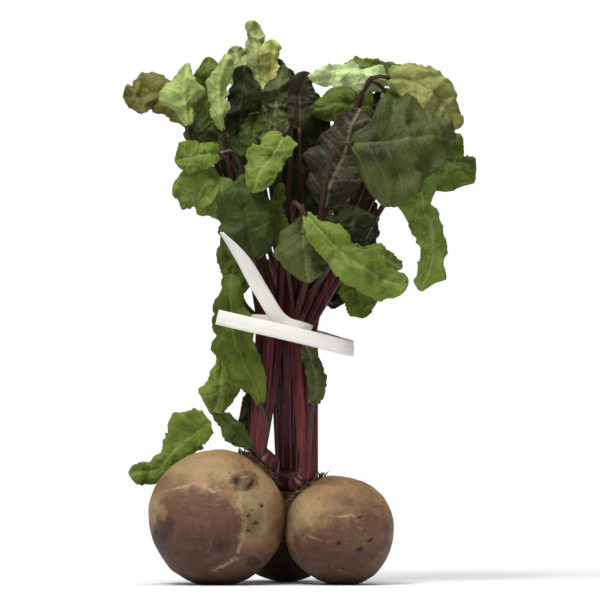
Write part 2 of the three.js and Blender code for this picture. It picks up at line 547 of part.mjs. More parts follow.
function stalksGeometry(name) {
  const root = ROOTS[name];
  const leaves = Object.values(LEAVES).filter((leaf) => leaf.root === name);
  const places = bundlePlaces(root);
  let solid = solidOf(collarGeometry(root));
  leaves.forEach((leaf, i) => {
    const parts = i >= places.length;
    const curve = stalkCurve(root, leaf, places[i % places.length], parts);
    const facets = parts ? STALK_FACETS.parted : STALK_FACETS.whole;
    solid = solid.add(solidOf(barGeometry(curve, facets, parts ? partedRadius : stalkRadius)));
  });
  return geometryOf(withoutHollows(solid));
}

// A number from an even list of them, at a share of its length, on a smooth line through them.
function between(numbers, share) {
  const place = Math.min(share, 0.9999) * (numbers.length - 1);
  const i = Math.floor(place);
  const [b, c] = [numbers[i], numbers[i + 1]];
  const a = numbers[i - 1] ?? b;
  const d = numbers[i + 2] ?? c;
  const t = place - i;
  return b + 0.5 * t * (c - a + t * (2 * a - 5 * b + 4 * c - d + t * (3 * (b - c) + d - a)));
}

// How far a limp blade stands out at a place. Neighbouring blades buckle alike, so they don't meet.
function buckle(x, y, z) {
  return CRUMPLE * (Math.sin(0.27 * x + 0.1 * z + 0.2 * y) + Math.sin(0.23 * z - 0.12 * x + 1.4));
}

// A point on a blade's middle surface and the way that the surface faces there. along runs from 0
// at the base to 1 at the tip, across from -1 at one edge to 1 at the other.
function bladePoint(leaf, curve, along, across) {
  const { half, curl, wave, face } = leaf;
  const tangent = curve.getTangent(along);
  const facing = vector(face[0]).lerp(vector(face[1]), along);
  const sideways = tangent.clone().cross(facing).normalize();
  const up = sideways.clone().cross(tangent).normalize();
  const side = across < 0 ? 0 : 1;
  const sign = Math.sign(across);
  const out = Math.abs(across);
  const [height, count, phase] = wave;
  const scallop = 1 + 0.05 * Math.sin(2 * Math.PI * (2 * count * along + phase + 0.4 * side));
  const width = between(half[side], along) * scallop;
  const bend = curl[side] * out;
  const reach = (width * Math.sin(bend)) / curl[side];
  const lift = (width * (1 - Math.cos(bend))) / curl[side];
  const normal = up.clone().multiplyScalar(Math.cos(bend)).addScaledVector(sideways, -sign * Math.sin(bend));
  const ripple = height * out ** 2 * Math.sin(2 * Math.PI * (count * along + phase + 0.3 * side));
  const point = curve.getPoint(along).addScaledVector(sideways, sign * reach).addScaledVector(up, lift);
  const limp = Math.sign(-face[0][1]) * THREE.MathUtils.smoothstep(along, 0, 0.3) * buckle(...point.toArray());
  return { point: point.addScaledVector(normal, ripple + limp), normal };
}

// A thin blade, its two faces split into triangles alike, with the midrib raised underneath.
function bladeGeometry(leaf) {
  const curve = ribCurve(leaf);
  const wide = Math.max(...leaf.half[0]) + Math.max(...leaf.half[1]) >= WIDE_BLADE;
  const { rows, columns: across } = wide ? BLADE_FACETS.wide : BLADE_FACETS.narrow;
  const columns = across + 1;
  const positions = [];
  for (const under of [0, 1]) {
    for (let row = 0; row <= rows; row++) {
      for (let column = 0; column <= across; column++) {
        const along = row / rows;
        const { point, normal } = bladePoint(leaf, curve, along, (2 * column) / across - 1);
        const rib = 2 * column === across ? mix(RIB_HEIGHT.base, RIB_HEIGHT.tip, along) : 0;
        point.addScaledVector(normal, under ? -BLADE_THICKNESS / 2 - rib : BLADE_THICKNESS / 2);
        positions.push(...point.toArray());
      }
    }
  }
  const faceSize = (rows + 1) * columns;
  const index = [];
  const quad = (a, b, c, d) => index.push(a, b, c, a, c, d);
  for (let row = 0; row < rows; row++) {
    for (let column = 0; column < across; column++) {
      const a = row * columns + column;
      const [b, c, d] = [a + 1, a + 1 + columns, a + columns];
      quad(a, b, c, d);
      quad(a + faceSize, d + faceSize, c + faceSize, b + faceSize);
    }
  }
  const rim = [];
  for (let column = 0; column < across; column++) rim.push(column);
  for (let row = 0; row < rows; row++) rim.push(row * columns + across);
  for (let column = across; column > 0; column--) rim.push(rows * columns + column);
  for (let row = rows; row > 0; row--) rim.push(row * columns);
  rim.forEach((a, i) => {
    const b = rim[(i + 1) % rim.length];
    quad(a, a + faceSize, b + faceSize, b);
  });
  const geometry = new THREE.BufferGeometry();
  geometry.setAttribute('position', new THREE.Float32BufferAttribute(positions, 3));
  geometry.setIndex(index);
  geometry.computeVertexNormals();
  return geometry;
}

// The flat strap, thickest over the wire along its middle.
function strapGeometry() {
  const middle = new THREE.CatmullRomCurve3(STRAP_ROUTE.map((stop) => vector(stop.at)));
  const widths = new THREE.CatmullRomCurve3(STRAP_ROUTE.map((stop) => vector(stop.width)));
  const [wide, thick] = [STRAP_WIDTH / 2, STRAP_THICKNESS / 2];
  const section = [
    [-wide, -thick], [0, -WIRE_RIDGE], [wide, -thick],
    [wide, thick], [0, WIRE_RIDGE], [-wide, thick],
  ];
  const positions = [];
  for (let step = 0; step <= STRAP_STEPS; step++) {
    const share = step / STRAP_STEPS;
    const tangent = middle.getTangent(share);
    const outward = widths.getPoint(share).cross(tangent).normalize();
    const across = tangent.clone().cross(outward);
    for (const [w, h] of section) {
      const point = middle.getPoint(share).addScaledVector(across, w).addScaledVector(outward, h);
      positions.push(...point.toArray());
    }
  }
  const sides = section.length;
  const index = [];
  for (let step = 0; step < STRAP_STEPS; step++) {
    for (let i = 0; i < sides; i++) {
      const a = step * sides + i;
      const b = step * sides + ((i + 1) % sides);
      index.push(a, b + sides, b, a, a + sides, b + sides);
    }
  }
  const last = STRAP_STEPS * sides;
  for (let i = 1; i < sides - 1; i++) index.push(0, i, i + 1, last, last + i + 1, last + i);
  const geometry = new THREE.BufferGeometry();
  geometry.setAttribute('position', new THREE.Float32BufferAttribute(positions, 3));
  geometry.setIndex(index);
  geometry.computeVertexNormals();
  return geometry;
}

const bunch = new THREE.Group();
bunch.position.set(...MIDDLE).negate();

function addPiece(name, geometry, colours) {
  const mesh = new THREE.Mesh(geometry, new THREE.MeshStandardMaterial({ ...colours, metalness: 0 }));
  mesh.name = name;
  bunch.add(mesh);
}

for (const name of Object.keys(ROOTS)) {
  addPiece(`beetroot_${name}`, rootGeometry(ROOTS[name]), COLOURS.skin);
  addPiece(`stalks_${name}`, stalksGeometry(name), COLOURS.stalk);
}
for (const [name, leaf] of Object.entries(LEAVES)) addPiece(name, bladeGeometry(leaf), COLOURS.leaf);
addPiece('tie_strap', strapGeometry(), COLOURS.strap);

export default bunch;
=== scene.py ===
"""A bunch of three beetroots with their leaves, held by one flat tie, and a plain stage for its picture.

The tables and the shapes are in millimetres, in the layout of the tables. The last step puts a point
into metres and moves it to the frame of the part.
"""

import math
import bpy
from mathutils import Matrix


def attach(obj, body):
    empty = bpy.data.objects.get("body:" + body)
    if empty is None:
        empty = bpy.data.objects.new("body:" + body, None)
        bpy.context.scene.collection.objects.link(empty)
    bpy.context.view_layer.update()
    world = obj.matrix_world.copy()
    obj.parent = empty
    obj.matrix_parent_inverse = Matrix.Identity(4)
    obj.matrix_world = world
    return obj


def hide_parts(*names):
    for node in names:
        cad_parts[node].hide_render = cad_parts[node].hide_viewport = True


bl_info = {
    "name": "Beetroot bunch",
    "version": (1, 0, 0),
    "blender": (4, 2, 0),
    "location": "3D View > Sidebar > Beetroot bunch",
    "description": "Builds a bunch of beetroots with stalks, leaves and a flat tie",
    "category": "Object",
}

import bmesh
import bpy
from mathutils import Matrix, Vector, noise

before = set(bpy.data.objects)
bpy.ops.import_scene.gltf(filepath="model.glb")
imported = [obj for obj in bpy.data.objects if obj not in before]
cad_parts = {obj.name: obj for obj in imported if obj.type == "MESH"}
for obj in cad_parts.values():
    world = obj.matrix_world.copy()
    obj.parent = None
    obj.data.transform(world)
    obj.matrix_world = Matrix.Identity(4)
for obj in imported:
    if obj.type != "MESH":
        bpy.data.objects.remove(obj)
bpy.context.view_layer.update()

MM = 0.001
FULL_TURN = 2 * math.pi
MIDDLE = Vector((10.15, 17.46, 0))  # the layout's point that becomes the origin

# The globes: the depth of the flat spot in mm, the crown's height, the stalks' collar and the crown's
# rim as shares of the radius, and the collar's height in mm.
FLAT_DEPTH = 0.8
CROWN_HEIGHT = 1.02
CROWN_RADIUS = 0.29
CROWN_RIM = 0.368
COLLAR_HEIGHT = 9

# The stalks: where the tie holds them, how they stand in it and their radii on the way.
TIE_HEIGHT = 153
TIE_AXIS = (2, 12)
TIE_REACH = 9
STALK_ROWS = (1, 3, 4)
STALK_PITCH = 5.8
INNER_ROW = 5
ROW_PITCH = 4.6
CROWN_STALK = 3.7
TIE_STALK = 2.8
BLADE_STALK = 1.4
PARTED_SHARE = 0.85
TIE_SHARE = 0.35
STALK_START = 1
CROWN_SPREAD = 0.48
LEAD_IN = 9
LEAD_OUT = 1.5
STALK_SIDES = 24
WHOLE_ROWS = 56
PARTED_ROWS = 30
COLLAR_INSET = 0.94
COLLAR_ROWS = 6
COLLAR_SIDES = 60
COLLAR_RIBS = 12
COLLAR_RIB_DEPTH = 0.09

# The blades: how they buckle, the step of the side veins, the edge's small waves, the rolled rim and
# the midrib's groove in mm, then the even and the torn part of the edge, as shares.
CRUMPLE = 1.3
VEIN_STEP = 9
RUFFLE = 2.2
ROLL = 1.1
GROOVE = 0.9
SCALLOP = 0.02
NOTCH = 1.5
SEED_STEP = 3.7

# Dry fibres round a crown, and rows of faces along the strap.
FIBRES = 54
STRAP_ROWS = 420

# Each root: the middle of its globe over the surface, its radius, the way its crown points, which
# third of the bundle its stalks take, in degrees from +X, and the phase of its lumps.
ROOTS = {
    "left": {"at": (-40, 0), "radius": 40.8, "lean": (28, 8, 33), "sector": 205, "lumps": 0.4},
    "right": {"at": (34, 0), "radius": 33, "lean": (-21, 6, 27), "sector": 325, "lumps": 2.1},
    "back": {"at": (1, 60), "radius": 32, "lean": (1, -17, 30), "sector": 85, "lumps": 4.4},
}

# Marks on the roots' skins, as seen from the front, by kind. The dark kind is mostly painted shade,
# at the bottoms of the front roots, at the left root's outer side and over the back root, and partly
# real dark skin. Each has its middle in x and z, its half sizes, its tilt in degrees and how soft its edge
# is.
PATCHES = {
    "left": {
        "mauve": [((-47, 38), (25, 22), 8, 0.35), ((-62, 22), (16, 20), -25, 0.5)],
        "purple": [
            ((-42, 22), (20, 15), 12, 0.55), ((-30, 26), (7, 13), 0, 0.6),
            ((-73, 27), (7.5, 14), -12, 0.25),
        ],
        "dark": [
            ((-74, 26), (5, 11), -12, 0.5), ((-36, 24), (5, 5), 0, 0.6), ((-52, 3), (26, 5), -4, 0.6),
        ],
        "khaki": [
            ((-19, 48), (12, 24), 8, 0.5), ((-48, 69), (26, 8), -6, 0.6), ((-74, 46), (5, 9), -20, 0.5),
            ((-23, 61), (5, 3.6), -18, 0.3),
        ],
        "pale": [
            ((-60, 57.5), (9, 0.8), 14, 0.7), ((-46, 59), (8, 0.8), -5, 0.7),
            ((-38, 56.5), (4, 0.8), -24, 0.7), ((-24.5, 49), (0.8, 7), 3, 0.8),
            ((-22, 34), (0.8, 8), -8, 0.8), ((-26, 21), (0.8, 5), -20, 0.8),
            ((-33, 13), (7, 0.9), 24, 0.8), ((-24, 62.5), (1.6, 0.7), -18, 0.5),
        ],
        "brown": [
            ((-64, 48), (6, 2), -8, 0.8), ((-55, 50), (8, 1.4), 4, 0.8), ((-23, 61), (7.5, 6), -18, 0.2),
            ((-19, 38), (4, 7), 10, 0.7),
        ],
        "pit": [
            ((-19.6, 58.6), (1.4, 2.8), -40, 0.5), ((-26.6, 62), (1.2, 2.4), 20, 0.5),
            ((-16, 13), (4.2, 3.6), -6, 0.25), ((-20, 41), (1.6, 1), 30, 0.4),
            ((-15, 37), (1.3, 0.8), 0, 0.4), ((-19, 33), (1.2, 0.8), -30, 0.4),
            ((-12, 47), (1.3, 0.8), 60, 0.4), ((-27, 18), (1.3, 0.7), 20, 0.4),
        ],
    },
    "right": {
        "mauve": [((38, 25), (30, 18), 4, 0.4), ((54, 36), (14, 12), -30, 0.6)],
        "purple": [((24, 15), (18, 13), -12, 0.6), ((44, 12), (16, 9), 12, 0.7)],
        "dark": [((28, 2), (22, 5), 0, 0.6)],
        "khaki": [((12, 36), (8, 20), -10, 0.6)],
        "pale": [((38, 41.5), (9, 0.8), 6, 0.8), ((22, 28), (6, 0.8), -14, 0.8)],
        "brown": [
            ((50, 25), (6, 3.4), 24, 0.6), ((26, 62), (9, 3), 4, 0.6), ((40, 50), (5, 1.4), -16, 0.8),
        ],
        "pit": [
            ((33, 25), (1.1, 0.9), 0, 0.4), ((46, 22), (1.9, 1.2), 20, 0.4), ((35, 9), (1.6, 1), 0, 0.4),
            ((46, 41), (1.5, 0.8), 0, 0.4), ((52, 27), (1.7, 0.8), 30, 0.4),
        ],
    },
    "back": {
        "purple": [((1, 22), (36, 24), 0, 0.4)],
        "dark": [((1, 14), (36, 16), 0, 0.5)],
    },
}
MARKS = ("mauve", "purple", "khaki", "dark", "pale", "brown", "pit")
PATCH_REACH = 12
SCARS = {"pale": 0.006, "brown": 0.01, "pit": -0.04}  # how far they stand out, as shares of the radius

FRONT = (0, -1, 0)
BEHIND = (0, 1, 0)


def blade(root, look, wave, rib, left, right, base=FRONT, tip=None, curl=-0.5, via=()):
    """One leaf of the table below, as named values."""
    return {
        "root": root, "look": look, "wave": wave, "rib": rib, "halves": (left, right),
        "base": Vector(base), "tip": Vector(tip or base), "via": via,
        "curls": curl if isinstance(curl, tuple) else (curl, curl),
    }


# Each leaf: its root, its look, the waves along its edge (height, number and phase), the midrib from
# the blade's base to its tip and the half widths of its two sides at even steps. Where they aren't
# the usual ones there are also the way its upper face looks at the base and at the tip, the curl of
# its sides in radians, as a pair where they differ, and the points that its stalk passes on the way.
LEAVES = {
    "left_tip": blade("left", "brown", (2.4, 2.5, 0.3),
        [(-54, 20, 279), (-66, 22, 290), (-78, 20, 299), (-88, 16, 296), (-96, 11, 295)],
        (4, 9, 10, 10, 11, 6), (5, 10, 14, 12, 9, 8),
        base=(-0.2, -1, 0.3), tip=(-0.3, -1, 0.2), curl=(-0.6, -0.4), via=[(-24, 20, 222)]),
    "left_pale": blade("left", "bright", (1.4, 2, 0.6),
        [(-57, -7, 275), (-59, -12, 287), (-59, -12, 299), (-57, -9, 313)],
        (2, 6, 10, 12, 7, 4), (3, 9, 15, 15, 11, 4), base=BEHIND, curl=(0.8, 0.6)),
    "left_dark": blade("left", "green", (2, 2.5, 0.1),
        [(-41, 7, 256), (-45, 6, 272), (-46, 6, 290), (-45, 4, 318)],
        (10, 16, 14, 9, 9, 9, 4), (5, 8, 8, 7, 8, 11, 6)),
    "left_middle": blade("left", "deep", (1.6, 2, 0.4),
        [(-35, -1, 256), (-44, -1, 267), (-52, 0, 279)], (5, 10, 12, 9, 4), (5, 10, 12, 10, 4)),
    "left_fold": blade("left", "bright", (1.2, 2, 0.2),
        [(-36, -10, 272), (-38, -16, 286), (-38, -17, 300), (-33, -15, 317)],
        (2, 4, 8, 9, 7, 5), (2, 5, 9, 9, 7, 5), base=BEHIND, curl=0.9),
    "left_small": blade("left", "bright", (1.6, 2.5, 0.7),
        [(-37, -17, 257), (-47, -22, 256), (-56, -24, 254), (-65, -23, 253)],
        (3, 7, 9, 9, 5), (3, 8, 10, 11, 6), base=(-0.3, -1, 0), curl=-0.4),
    "left_low": blade("left", "bright", (2, 2.5, 0.4),
        [(-31, -10, 213), (-40, -15, 226), (-50, -17, 233), (-58, -16, 236), (-66, -14, 238)],
        (5, 8, 10, 12, 12, 7), (7, 15, 18, 17, 14, 7), base=(-0.3, -1, 0), tip=(-0.4, -1, 0)),
    "centre_narrow": blade("left", "deep", (1.4, 2, 0.3),
        [(-22, 3, 239), (-22, 2, 254), (-19, 1, 269), (-15, 1, 284)],
        (3, 8, 9, 8, 4), (3, 8, 8, 6, 3), curl=-0.4),
    "front_bright": blade("left", "bright", (1.6, 2.5, 0.9),
        [(1, -22, 268), (-5, -31, 257), (-12, -36, 246), (-18, -38, 232)],
        (8, 10, 10, 9, 4), (13, 11, 12, 11, 5), base=(0, -1, 0.4), tip=(0, -1, 0.1)),
    "front_oval": blade("left", "deep", (1.5, 2.5, 0.2),
        [(-17, -18, 193), (-20, -26, 209), (-22, -28, 223), (-25, -25, 244)],
        (8, 13, 16, 17, 16, 12, 5), (10, 16, 18, 18, 16, 12, 5), curl=-0.6),
    "tie_behind": blade("left", "green", (1.6, 2.5, 0.4),
        [(-26, 3, 176), (-30, 2, 187), (-33, 1, 197), (-36, 0, 210)],
        (3, 6, 7, 6, 3), (4, 7, 8, 8, 3), curl=-0.4),
    "tie_left": blade("left", "green", (2, 3.5, 0.5),
        [(-13, -5, 107), (-20, -8, 125), (-28, -11, 141), (-31, -11, 160), (-31, -8, 186)],
        (3, 8, 11, 12, 14, 11, 4), (3, 8, 10, 11, 12, 9, 4), base=(-0.3, -1, 0), tip=(-0.2, -1, 0)),
    "crown_left": blade("left", "deep", (1, 2, 0.3),
        [(-19, -1, 81), (-27, -3, 89), (-34, -5, 96), (-42, -6, 103)], (2, 5, 6, 5, 2), (2, 5, 6, 5, 2)),
    "stem_left": blade("left", "purple", (1, 2, 0.1),
        [(-20, 18, 87), (-21, 19, 98), (-20, 18, 110), (-17, 18, 123)],
        (3, 5, 5, 4, 2), (3, 5, 5, 4, 2), curl=-0.3),
    "droop_upper": blade("left", "bright", (2, 2.5, 0.1),
        [(-36, 4, 142), (-37, 6, 127), (-38, 8, 115), (-42, 10, 101)],
        (3, 5, 8, 12, 12, 8, 4), (5, 5, 7, 10, 12, 9, 5), via=[(-15, 4, 130), (-25, 3, 150)]),
    "droop_lower": blade(None, "bright", (1.8, 3, 0.8),
        [(-44, 12, 97), (-55, 22, 90), (-66, 29, 80), (-77, 33, 69), (-94, 31, 66)],
        (5, 10, 10, 9, 8, 8, 5), (8, 14, 18, 11, 8, 7, 5),
        base=(-0.2, -1, 0.2), tip=(-0.3, -1, 0), curl=-0.4),
    "front_crinkled": blade("right", "dusky", (1.8, 3, 0.3),
        [(12, -30, 218), (12, -38, 206), (13, -43, 193), (16, -44, 178)],
        (6, 13, 17, 17, 14, 5), (5, 14, 18, 18, 12, 4), curl=(-0.5, -0.6)),
    "front_slim": blade("right", "green", (1, 2, 0.5),
        [(0, -12, 203), (-3, -18, 215), (-4, -20, 226), (0, -16, 239)],
        (3, 5, 5, 4, 2), (3, 5, 5, 4, 2), base=(0.2, -1, 0), curl=-0.3),
    "shade_right": blade("right", "shade", (1.8, 3, 0.5),
        [(31, -24, 195), (37, -28, 205), (41, -28, 215), (44, -26, 226)],
        (4, 13, 16, 16, 13, 5), (5, 14, 12, 11, 12, 5), curl=-0.4),
    "front_long": blade("right", "bright", (1.4, 2.5, 0.6),
        [(13, -46, 219), (25, -53, 205), (40, -56, 191), (56, -55, 181), (72, -50, 175)],
        (3, 8, 11, 12, 11, 6), (3, 8, 11, 13, 13, 7),
        base=(0, -1, 0.1), tip=(0.1, -1, 0.1), curl=(-0.8, -0.4), via=[(6, -24, 222)]),
    "front_second": blade("right", "bright", (1.2, 2, 0.2),
        [(36, -33, 202), (47, -38, 197), (59, -38, 193), (71, -34, 187)],
        (2, 4, 6, 7, 3), (2, 5, 7, 7, 3), base=(0, -1, 0.2), tip=(0.1, -1, 0.1)),
    "front_droop": blade("right", "green", (1.4, 2, 0.2),
        [(38, -24, 190), (43, -29, 179), (46, -30, 169), (48, -29, 158)],
        (6, 10, 10, 9, 4), (5, 9, 11, 9, 4), curl=-0.4),
    "right_low": blade("right", "shade", (1.6, 2, 0.5),
        [(18, 28, 173), (24, 29, 177), (32, 29, 176), (40, 28, 172)],
        (5, 10, 11, 10, 4), (5, 9, 10, 9, 4), curl=-0.3),
    "right_big": blade("right", "dusky", (2.4, 3, 0.4),
        [(40, -54, 259), (56, -61, 260), (72, -61, 261), (88, -54, 263), (103, -45, 262)],
        (5, 20, 27, 29, 27, 19, 6), (7, 32, 38, 33, 25, 16, 5),
        base=(-0.1, -1, 0.2), tip=(0.3, -1, 0.2), curl=(-0.6, -0.5)),
    "right_dry": blade("right", "dry", (2, 3.5, 0.7),
        [(25, -20, 224), (30, -26, 242), (37, -29, 260), (45, -26, 284)],
        (6, 15, 20, 21, 18, 9), (6, 13, 17, 17, 14, 8),
        base=(-0.3, -1, 0), tip=(-0.3, -1, 0.2), curl=(-0.5, -0.4)),
    "right_yellow": blade("right", "yellow", (2, 3, 0.2),
        [(62, -20, 302), (75, -24, 301), (88, -26, 295), (98, -23, 284), (102, -18, 271)],
        (6, 12, 13, 13, 13, 9), (6, 12, 13, 13, 12, 7), base=(0.1, -1, 0.2), tip=(0.4, -1, 0.2)),
    "right_pale": blade("right", "pale", (1.6, 3, 0.5),
        [(63, -4, 302), (47, -16, 305), (32, -21, 305), (15, -22, 303)],
        (7, 8, 8, 8, 5, 3), (7, 12, 10, 8, 9, 4), base=BEHIND, curl=(0.6, 0.4)),
    "right_top": blade("right", "green", (1.2, 2, 0.1),
        [(76, 4, 306), (58, 6, 309), (41, 6, 310), (25, 5, 307)],
        (7, 8, 7, 6, 4, 3), (8, 9, 9, 9, 6, 3), base=(0, -1, 0.5), curl=-0.4),
    "right_roof": blade("right", "green", (1.6, 2, 0.9),
        [(55, 7, 288), (45, 5, 289), (32, 3, 289), (14, 1, 284)],
        (8, 14, 15, 13, 10, 4), (7, 11, 12, 12, 9, 5), base=(0, -1, 0.3), curl=-0.4),
    "right_far": blade("right", "green", (2, 2.5, 0.3),
        [(87, 4, 261), (95, 5, 257), (104, 2, 251), (115, -2, 242)],
        (9, 18, 20, 14, 10, 6), (9, 21, 23, 21, 15, 7), base=(0.5, -1, 0)),
    "right_hanging": blade("right", "pale", (1.8, 3.5, 0.1),
        [(82, -25, 247), (83, -30, 227), (88, -31, 209), (89, -30, 193), (82, -26, 174)],
        (8, 10, 8, 10, 9, 8, 4), (11, 15, 13, 11, 8, 8, 5), base=(0.3, -1, 0)),
    "right_fold": blade("right", "bright", (1.4, 2.5, 0.6),
        [(60, -13, 296), (69, -14, 289), (78, -14, 281), (88, -12, 270)],
        (3, 8, 9, 8, 4), (3, 9, 10, 9, 4), base=(0.1, -1, 0.2), tip=(0.2, -1, 0), curl=-0.4),
    "stem_right": blade("right", "dusky", (1, 2, 0.4),
        [(18, -10, 107), (20, -13, 120), (17, -15, 133), (13, -16, 144)],
        (3, 5, 5, 5, 3), (4, 6, 7, 6, 3), base=(0.3, -1, 0), curl=-0.3),
    "top_tall": blade("back", "yellow", (1.8, 3, 0.2),
        [(-12, 24, 276), (-15, 23, 300), (-17, 21, 322), (-20, 18, 342)],
        (3, 5, 7, 7, 7, 6), (3, 5, 7, 7, 6, 5), base=BEHIND, curl=0.5),
    "top_yellow": blade("back", "straw", (1.4, 2, 0.8),
        [(-8, 19, 283), (-9, 18, 300), (-8, 17, 314), (-7, 16, 330)], (3, 4, 5, 6, 6, 5), (3, 5, 6, 5, 5, 6)),
    "top_left": blade("back", "yellow", (1.6, 2, 0.5),
        [(-20, 34, 280), (-24, 33, 300), (-27, 32, 314), (-30, 30, 328)],
        (3, 5, 7, 8, 8, 8, 7), (3, 5, 7, 8, 8, 8, 8), base=BEHIND, curl=0.5),
    "top_brown": blade("back", "dusky", (1.8, 2.5, 0.6),
        [(2, 2, 268), (-2, -1, 284), (-3, -1, 297), (0, 1, 313)],
        (4, 7, 10, 9, 6, 3), (4, 8, 9, 9, 7, 3), curl=-0.6, via=[(0, 7, 208)]),
    "top_purple": blade("back", "purple", (1.6, 2.5, 0.4),
        [(10, -9, 272), (10, -10, 286), (11, -10, 296), (15, -9, 307)], (3, 7, 9, 8, 4), (3, 7, 9, 7, 4)),
    "centre_olive": blade("back", "dusky", (1.4, 2, 0.7),
        [(-2, -6, 249), (-4, -8, 263), (-5, -8, 276), (-4, -7, 290)], (3, 9, 10, 8, 4), (3, 7, 8, 7, 4)),
    "shade_left": blade("left", "shade", (1.6, 2.5, 0.8),
        [(-24, 14, 236), (-26, 12, 260), (-26, 14, 284), (-23, 16, 314)],
        (4, 11, 13, 14, 12, 9, 5), (4, 10, 13, 15, 14, 11, 6), curl=-0.4),
    "shade_middle": blade("back", "shade", (1.8, 3, 0.1),
        [(10, 13, 215), (12, 10, 243), (13, 9, 270), (14, 11, 300)],
        (5, 15, 19, 19, 18, 14, 6), (5, 15, 19, 20, 19, 14, 6), curl=-0.4),
    "shade_far": blade("back", "shade", (1.8, 3, 0.9),
        [(40, 14, 232), (52, 12, 250), (63, 11, 266), (76, 12, 280)],
        (5, 14, 17, 16, 12, 5), (5, 14, 17, 16, 12, 5), base=(-0.2, -1, 0), curl=-0.4),
    "back_left": blade("back", "green", (2.4, 3, 0.2),
        [(-16, 46, 228), (-30, 58, 262), (-42, 72, 282), (-52, 86, 284)],
        (4, 15, 21, 22, 15, 4), (4, 17, 23, 20, 14, 4), base=(0.6, -0.6, 0.5), tip=(-0.4, 0.4, 0.9)),
    "back_middle": blade("back", "deep", (2.4, 3, 0.6),
        [(2, 48, 244), (6, 62, 274), (10, 80, 292), (14, 98, 288)],
        (4, 17, 22, 20, 15, 4), (4, 15, 20, 22, 14, 5), base=(0, -1, 0.3), tip=(0, -0.1, 1)),
    "back_right": blade("back", "green", (2.4, 3, 0.9),
        [(24, 44, 222), (42, 56, 252), (60, 68, 270), (76, 82, 272)],
        (4, 17, 22, 20, 13, 4), (4, 16, 22, 22, 15, 5), base=(-0.6, -0.6, 0.5), tip=(0.4, 0.4, 0.9)),
    "back_tall": blade("back", "shade", (2, 3, 0.3),
        [(6, 38, 256), (4, 44, 282), (0, 46, 304), (-5, 44, 322)],
        (3, 12, 15, 13, 9, 3), (3, 13, 16, 14, 9, 3), tip=(0, -1, 0.2)),
    "back_top_left": blade("back", "green", (2, 3, 0.8),
        [(-32, 40, 256), (-42, 50, 276), (-48, 60, 290), (-52, 70, 296)],
        (3, 11, 14, 13, 8, 3), (3, 12, 15, 12, 8, 3), base=(0.4, -0.8, 0.4), tip=(0.2, -0.5, 0.8)),
    "back_top_right": blade("back", "green", (2, 3, 0.1),
        [(40, 34, 258), (56, 42, 278), (70, 50, 288), (84, 56, 288)],
        (3, 13, 16, 15, 10, 3), (3, 13, 17, 15, 10, 4), base=(-0.5, -0.8, 0.3), tip=(0, -0.6, 0.8)),
    "back_low_left": blade("back", "deep", (2, 3, 0.4),
        [(-10, 48, 178), (-18, 64, 198), (-24, 78, 198), (-28, 88, 178)],
        (3, 12, 15, 15, 10, 3), (3, 11, 15, 16, 11, 3), base=(0.3, -0.8, 0.5), tip=(-0.3, 0.7, 0.6)),
    "back_low_right": blade("back", "green", (2, 3, 0.7),
        [(18, 46, 178), (28, 60, 200), (36, 74, 206), (42, 88, 190)],
        (3, 13, 17, 17, 12, 4), (3, 13, 18, 16, 11, 3), base=(-0.6, -0.6, 0.5), tip=(0.5, 0.5, 0.6)),
    "back_low": blade("back", "green", (2, 3, 0.1),
        [(4, 52, 172), (6, 70, 188), (8, 86, 182), (9, 96, 162)],
        (3, 12, 15, 15, 10, 3), (3, 12, 15, 16, 10, 3), base=(0, -1, 0.3), tip=(0, 0.8, 0.6)),
    "shade_low": blade("back", "shade", (1.8, 3, 0.2),
        [(33, 24, 190), (40, 24, 206), (46, 24, 220), (52, 24, 236)],
        (5, 13, 16, 16, 13, 5), (5, 13, 16, 15, 12, 5), curl=-0.4),
    "shade_roof": blade("back", "shade", (1.6, 3, 0.3),
        [(42, 21, 270), (51, 21, 280), (60, 20, 288), (69, 19, 295)],
        (4, 11, 14, 13, 11, 5), (4, 12, 15, 14, 11, 5), base=(0, -1, 0.3), curl=-0.4),
}

# Looks of a blade: the upper face, its patches, which also paint one side of the midrib lighter and the
# other darker as painted light and shade, the underside, the veins, how browned it is.
LOOKS = {
    "deep": ((0.026, 0.041, 0.005), (0.056, 0.085, 0.012), (0.1, 0.14, 0.035), (0.085, 0.105, 0.024), 0.12),
    "shade": ((0.011, 0.014, 0.003), (0.026, 0.036, 0.008), (0.05, 0.07, 0.02), (0.05, 0.05, 0.016), 0.1),
    "green": ((0.046, 0.077, 0.004), (0.098, 0.138, 0.013), (0.17, 0.24, 0.055), (0.16, 0.2, 0.04), 0.15),
    "bright": ((0.085, 0.132, 0.011), (0.155, 0.215, 0.028), (0.33, 0.42, 0.125), (0.28, 0.34, 0.1), 0.1),
    "pale": ((0.13, 0.2, 0.02), (0.22, 0.3, 0.05), (0.48, 0.6, 0.26), (0.38, 0.46, 0.18), 0.05),
    "dusky": ((0.02, 0.025, 0.005), (0.08, 0.1, 0.02), (0.13, 0.15, 0.05), (0.18, 0.175, 0.07), 0.2),
    "purple": ((0.016, 0.014, 0.005), (0.034, 0.034, 0.012), (0.07, 0.05, 0.03), (0.1, 0.05, 0.035), 0.2),
    "dry": ((0.013, 0.013, 0.005), (0.028, 0.027, 0.011), (0.1, 0.08, 0.05), (0.28, 0.23, 0.14), 0.25),
    "yellow": ((0.19, 0.2, 0.048), (0.27, 0.3, 0.085), (0.38, 0.44, 0.16), (0.13, 0.07, 0.04), 0.4),
    "straw": ((0.42, 0.45, 0.11), (0.5, 0.55, 0.16), (0.45, 0.5, 0.18), (0.22, 0.2, 0.06), 0.5),
    "brown": ((0.1, 0.088, 0.016), (0.16, 0.15, 0.032), (0.2, 0.17, 0.07), (0.06, 0.03, 0.016), 0.8),
}

ACROSS = (0.23, 0, 0.97)
UPRIGHT = (0, 0, 1)
RISING = (0.82, 0, 0.57)

